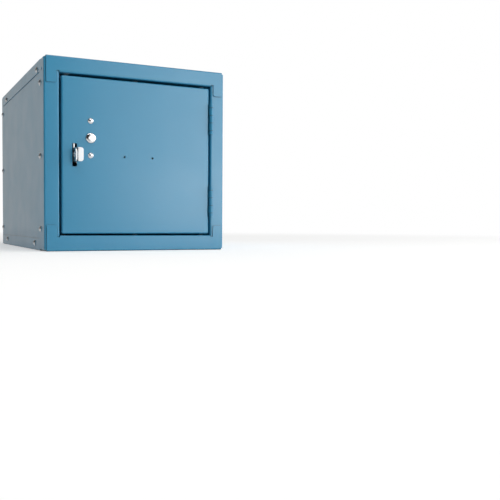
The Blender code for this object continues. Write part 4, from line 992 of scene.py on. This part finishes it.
class Finish(Tree):
    """A material, with plain values on its shader for a reader that takes no nodes.

    Its detail is read at the object's coordinates.
    """

    def __init__(self, name, colour, roughness, metallic=0.0):
        self.material = bpy.data.materials.new(name)
        super().__init__(self.material)
        self.at = self.add("TexCoord", {}, "Object")
        self.surface({"Base Color": colour, "Roughness": roughness, "Metallic": metallic})

    def surface(self, inputs):
        self.feed(self.nodes["Principled BSDF"], inputs)
        return self.material

    def noise(self, feature, detail=2.0, distortion=0.0, at=None):
        """Noise whose features are about so many metres across."""
        return self.add("TexNoise", {"Vector": at or self.at, "Scale": 1.0 / feature,
                                               "Detail": detail, "Distortion": distortion}, "Fac")

    def tone(self, factor, first, second):
        """Mix two colours by a factor."""
        return self.add("Mix", {"Factor": factor, "A": first, "B": second}, "Result",
                        data_type="RGBA")

    def relief(self, height, distance, strength, below=None):
        """Bump of a real height in metres, on top of another one."""
        inputs = {"Height": height, "Distance": distance, "Strength": strength}
        if below:
            inputs["Normal"] = below
        return self.add("Bump", inputs, "Normal")

    def edge_mask(self, radius):
        """1 on sharp edges and 0 on flats: how far a rounded normal leans from the true one."""
        rounded = self.add("Bevel", {"Radius": radius}, "Normal", samples=4)
        true = self.add("NewGeometry", {}, "Normal")
        return self.between(self.dot(rounded, true), EDGE_LEAN)

    def painted_crevice_shade(self, reach):
        """Mask for painted shade, from ambient occlusion: 1 down in seams and tight corners and 0 on open
        sheet.
        """
        open_share = self.add("AmbientOcclusion", {"Distance": reach}, "AO", samples=8)
        return self.between(open_share, SEAM_SHADE, (1.0, 0.0))


def enamel(name, paint, deep, pale, shade_colour):
    """Baked enamel: slight orange peel, panels not dead flat, paler on cut edges, with painted shade down in
    seams and tight corners.
    """
    finish = Finish(name, paint, roughness=0.30)
    colour = finish.tone(finish.between(finish.noise(CLOUD_SIZE, detail=3.0), SOFT), deep, paint)
    specks = finish.between(finish.noise(SPECK_SIZE, detail=1.0), SPECKS, (0.0, SPECK_SHARE))
    colour = finish.tone(specks, colour, pale)
    colour = finish.tone(finish.product(finish.edge_mask(WEAR_REACH), WEAR_SHARE), colour, pale)
    # Painted shade: the paint darkens towards the shade colour wherever ambient occlusion finds a seam or a
    # tight corner
    colour = finish.tone(finish.painted_crevice_shade(SEAM_SHADE_REACH), colour, shade_colour)
    gloss = finish.between(finish.noise(GLOSS_SIZE, detail=4.0), SOFT, PAINT_GLOSS)
    waves = finish.relief(finish.noise(WAVE_SIZE, detail=1.0), *WAVES)
    peel = finish.relief(finish.noise(PEEL_SIZE), *PEEL, waves)
    return finish.surface({"Base Color": colour, "Roughness": gloss, "Normal": peel, "IOR": PAINT_IOR,
                           "Coat Weight": COAT_WEIGHT, "Coat Roughness": COAT_ROUGHNESS})


def zinc_plate():
    """Bright zinc plating: faint cool and warm tints, fine drawn streaks, dulled in patches."""
    finish = Finish("zinc_plate", ZINC, roughness=0.30, metallic=1.0)
    tint = finish.between(finish.noise(TINT_SIZE, detail=3.0, distortion=0.6), FIRM)
    drawn = finish.add("Mapping", {"Vector": finish.at, "Scale": STREAK_SCALE}, "Vector")
    streaks = finish.noise(STREAK_SIZE, detail=3.0, at=drawn)
    fine = finish.relief(streaks, *STREAK_RELIEF)
    grain = finish.relief(finish.noise(GRAIN_SIZE), *GRAIN, fine)
    return finish.surface({"Base Color": finish.tone(tint, ZINC_COOL, ZINC_WARM), "Normal": grain,
                           "Roughness": finish.between(streaks, RAISED, ZINC_GLOSS)})


def bright_chrome():
    """Polished plating with a faint haze."""
    finish = Finish("bright_chrome", CHROME, roughness=0.12, metallic=1.0)
    haze = finish.noise(HAZE_SIZE, detail=2.0, distortion=0.4)
    return finish.surface({"Base Color": finish.tone(finish.between(haze, HAZY), CHROME, CHROME_DULL),
                           "Roughness": finish.between(haze, RAISED, CHROME_GLOSS),
                           "Normal": finish.relief(finish.noise(POLISH_SIZE, detail=1.0), *POLISH)})


def white_nylon():
    """Moulded nylon, a little translucent, with a fine matt skin."""
    finish = Finish("white_nylon", NYLON, roughness=0.45)
    cloudy = finish.between(finish.noise(NYLON_CLOUD_SIZE), FIRM)
    skin = finish.noise(SKIN_SIZE)
    return finish.surface({"Base Color": finish.tone(cloudy, NYLON, NYLON_DULL),
                           "Roughness": finish.between(skin, SOFT, NYLON_GLOSS),
                           "Normal": finish.relief(skin, *SKIN), "Subsurface Weight": NYLON_DEPTH,
                           "Subsurface Radius": NYLON_RADIUS, "Subsurface Scale": 1.0})


# Colours, linear, with alpha
PAINT = (0.034, 0.264, 0.449, 1.0)
PAINT_DEEP = (0.032, 0.258, 0.441, 1.0)
PAINT_PALE = (0.090, 0.330, 0.520, 1.0)
# Painted shade laid into seams and tight corners of the blue paint
PAINTED_SEAM_SHADE = (0.006, 0.080, 0.130, 1.0)
# Darker copy of the paint for the hinge pins: painted shade in the joints between the knuckles
JOINT_SHADE_PAINT = (0.006, 0.045, 0.080, 1.0)
JOINT_SHADE_DEEP = (0.005, 0.040, 0.072, 1.0)
JOINT_SHADE_PALE = (0.010, 0.060, 0.100, 1.0)
JOINT_SEAM_SHADE = (0.004, 0.030, 0.055, 1.0)
ZINC = (0.78, 0.80, 0.82, 1.0)
ZINC_COOL = (0.75, 0.78, 0.82, 1.0)
ZINC_WARM = (0.81, 0.81, 0.79, 1.0)
CHROME = (0.90, 0.91, 0.92, 1.0)
CHROME_DULL = (0.82, 0.83, 0.85, 1.0)
NYLON = (0.80, 0.79, 0.75, 1.0)
NYLON_DULL = (0.72, 0.71, 0.67, 1.0)
FLOOR = (0.86, 0.86, 0.85, 1.0)
BLACK = (0.0, 0.0, 0.0, 1.0)

# Spans of noise, and of the two masks, that become 0 to 1 or a span of gloss
SOFT = (0.30, 0.70)
FIRM = (0.35, 0.65)
RAISED = (0.35, 0.70)
HAZY = (0.30, 0.75)
SPECKS = (0.66, 0.80)
EDGE_LEAN = (0.98, 0.80)
SEAM_SHADE = (0.40, 0.80)

# Enamel: detail's size across in metres; for relief, its height and strength; roughness from and to
CLOUD_SIZE = 0.110
SPECK_SIZE = 0.0009
SPECK_SHARE = 0.05
WEAR_REACH = 0.0007
WEAR_SHARE = 0.45
# How far the ambient occlusion behind the painted seam shade reaches
SEAM_SHADE_REACH = 0.0025
GLOSS_SIZE = 0.045
PAINT_GLOSS = (0.285, 0.340)
WAVE_SIZE = 0.085
WAVES = (0.0010, 0.09)
PEEL_SIZE = 0.0022
PEEL = (0.00003, 0.15)
PAINT_IOR = 1.52
COAT_WEIGHT = 0.35
COAT_ROUGHNESS = 0.16

# Zinc, chrome and nylon, in the same way
TINT_SIZE = 0.006
STREAK_SCALE = (1.0, 1.0, 0.06)
STREAK_SIZE = 0.0005
STREAK_RELIEF = (0.00001, 0.12)
GRAIN_SIZE = 0.0012
GRAIN = (0.00002, 0.08)
ZINC_GLOSS = (0.28, 0.34)
HAZE_SIZE = 0.006
CHROME_GLOSS = (0.12, 0.18)
POLISH_SIZE = 0.0030
POLISH = (0.00002, 0.12)
NYLON_CLOUD_SIZE = 0.003
SKIN_SIZE = 0.0004
SKIN = (0.00002, 0.30)
NYLON_GLOSS = (0.38, 0.52)
NYLON_DEPTH = 0.15
NYLON_RADIUS = (0.0012, 0.0010, 0.0008)


# Floor, light and camera

def make_floor():
    """Pale floor that fades into the white surround, with the locker's own shadow on it."""
    bm = bmesh.new()
    bmesh.ops.create_grid(bm, x_segments=1, y_segments=1, size=FLOOR_REACH)
    mesh = to_mesh("floor", bm)
    finish = Finish("floor", FLOOR, roughness=0.7)
    far = finish.add("VectorMath", {0: finish.at}, "Value", operation="LENGTH")
    fade = finish.between(far, FLOOR_FADE)
    glow = finish.add("Mix", {"Factor": fade, "A": FLOOR_GLOW, "B": 1.0}, "Result")
    direction = finish.add("VectorMath", {0: finish.at}, "Vector", operation="NORMALIZE")
    lit = finish.held_back(direction, FLOOR_LIT, DIM_FLOOR_LIT)
    strength = finish.product(glow, finish.seen_or_lit(lit))
    mesh.materials.append(finish.surface({
        "Base Color": finish.tone(fade, FLOOR, BLACK), "Specular IOR Level": 0.0,
        "Emission Color": (1.0, 1.0, 1.0, 1.0), "Emission Strength": strength}))
    floor = add_object("floor", mesh, SCENE, (0.0, 0.0, -FLOOR_DROP))


def make_light():
    """A white surround, dimmer in its light from the left, and the softboxes."""
    world = bpy.data.worlds.new("surround")
    bpy.context.scene.world = world
    tree = Tree(world)
    direction = tree.add("TexCoord", {}, "Generated")
    strength = tree.seen_or_lit(tree.held_back(direction, SURROUND, DIM_SURROUND))
    tree.feed(tree.nodes["Background"], {"Color": (1.0, 1.0, 1.0, 1.0), "Strength": strength})
    for name, (azimuth, height, distance, size, glow, colour) in SOFTBOXES.items():
        light = configure(bpy.data.lights.new(name, "AREA"), shape="RECTANGLE", size=size[0], size_y=size[1],
                          color=colour, energy=glow * math.pi * size[0] * size[1])
        turn = math.radians(azimuth)
        spot = Vector((distance * math.sin(turn), -distance * math.cos(turn), height))
        aim = (Vector(LIGHT_AIM) - spot).to_track_quat("-Z", "Y").to_euler()
        add_object(name, light, SCENE, spot, rotation=aim).visible_camera = False
    bpy.context.scene.view_settings.view_transform = "Standard"


def make_camera():
    """Camera solved from the photograph's corners, bolts, hinges and seams, in the sizes' own corner."""
    camera = bpy.data.cameras.new("camera")
    camera.sensor_width = SENSOR
    camera.lens = FOCAL_PIXELS * SENSOR / IMAGE_PIXELS
    camera.clip_start, camera.clip_end = CLIP
    eye = add_object("camera", camera, SCENE)
    right, up = Vector(CAMERA_RIGHT).normalized(), Vector(CAMERA_UP).normalized()
    turn = Matrix((right, up, right.cross(up))).transposed()
    eye.matrix_world = Matrix.Translation(CORNER + Vector(CAMERA_SPOT)) @ turn.to_4x4()
    bpy.context.scene.camera = eye


IMAGE_PIXELS = 500
FOCAL_PIXELS = 731.52
SENSOR = 36.0
CLIP = (0.01, 100.0)
CAMERA_SPOT = (-0.22290, -1.15967, 0.04637)
CAMERA_RIGHT = (0.89438, -0.44726, 0.00615)
CAMERA_UP = (0.01098, 0.03570, 0.99930)
FLOOR_REACH = 30.0
FLOOR_DROP = 0.0002
FLOOR_FADE = (0.35, 2.20)
FLOOR_GLOW = 0.42
FLOOR_LIT = 0.430
DIM_FLOOR_LIT = 0.50
SURROUND = 0.35
DIM_SURROUND = 0.03

# The dim sector: its middle from the front in degrees, and how far from it the light is full and held
DIM_AZIMUTH = -66.0
DIM_SPREAD = (87.0, 77.0)

# Each softbox: azimuth from the front in degrees, height, distance, width and height, brightness, colour
LIGHT_AIM = (0.0, -0.20, 0.15)
WHITE = (1.0, 1.0, 1.0)
CREAM = (1.0, 0.98, 0.90)
SOFTBOXES = {
    "front_middle": (15.0, 0.50, 2.40, (0.378, 2.2), 1.7, WHITE),
    "front_right": (26.75, 0.50, 2.40, (0.61, 2.2), 3.1, WHITE),
    "front_right_low": (26.0, 0.10, 2.30, (0.80, 0.4), 2.6, WHITE),
    "right": (66.0, 0.50, 2.40, (1.3, 2.2), 3.0, WHITE),
    "front_high": (-10.0, 1.90, 1.60, (1.6, 0.9), 2.2, WHITE),
    "overhead": (0.5, 2.40, 0.30, (2.4, 2.4), 0.35, WHITE),
    "left_strip": (-72.0, 0.50, 2.00, (0.25, 1.4), 0.8, WHITE),
    "left_rear": (-165.0, 0.60, 2.40, (1.8, 2.2), 0.24, CREAM),
}

# The pins' collars fill the joints between the knuckles; the pins take a darker copy of the paint, painted
# shade for those deep joints
PINS = ("hinge_pin_upper", "hinge_pin_lower")
MATERIALS = {
    "blue_paint": enamel("blue_paint", PAINT, PAINT_DEEP, PAINT_PALE, PAINTED_SEAM_SHADE),
    "joint_shade_paint": enamel("joint_shade_paint", JOINT_SHADE_PAINT, JOINT_SHADE_DEEP, JOINT_SHADE_PALE, JOINT_SEAM_SHADE),
    "zinc_plate": zinc_plate(),
    "bright_chrome": bright_chrome(),
    "white_nylon": white_nylon(),
}
build_cabinet()
build_door()
for hinge_side, hinge_level in zip(("upper", "lower"), HINGE_LEVELS):
    make_hinge(hinge_side, hinge_level)
for draft_name, draft, finish in DRAFTS:
    settle(draft_name, draft, finish)
for collection in (PARTS, CUTTERS):
    for helper in list(collection.objects):
        bpy.data.objects.remove(helper, do_unlink=True)
    bpy.data.collections.remove(collection)
make_floor()
make_light()
make_camera()
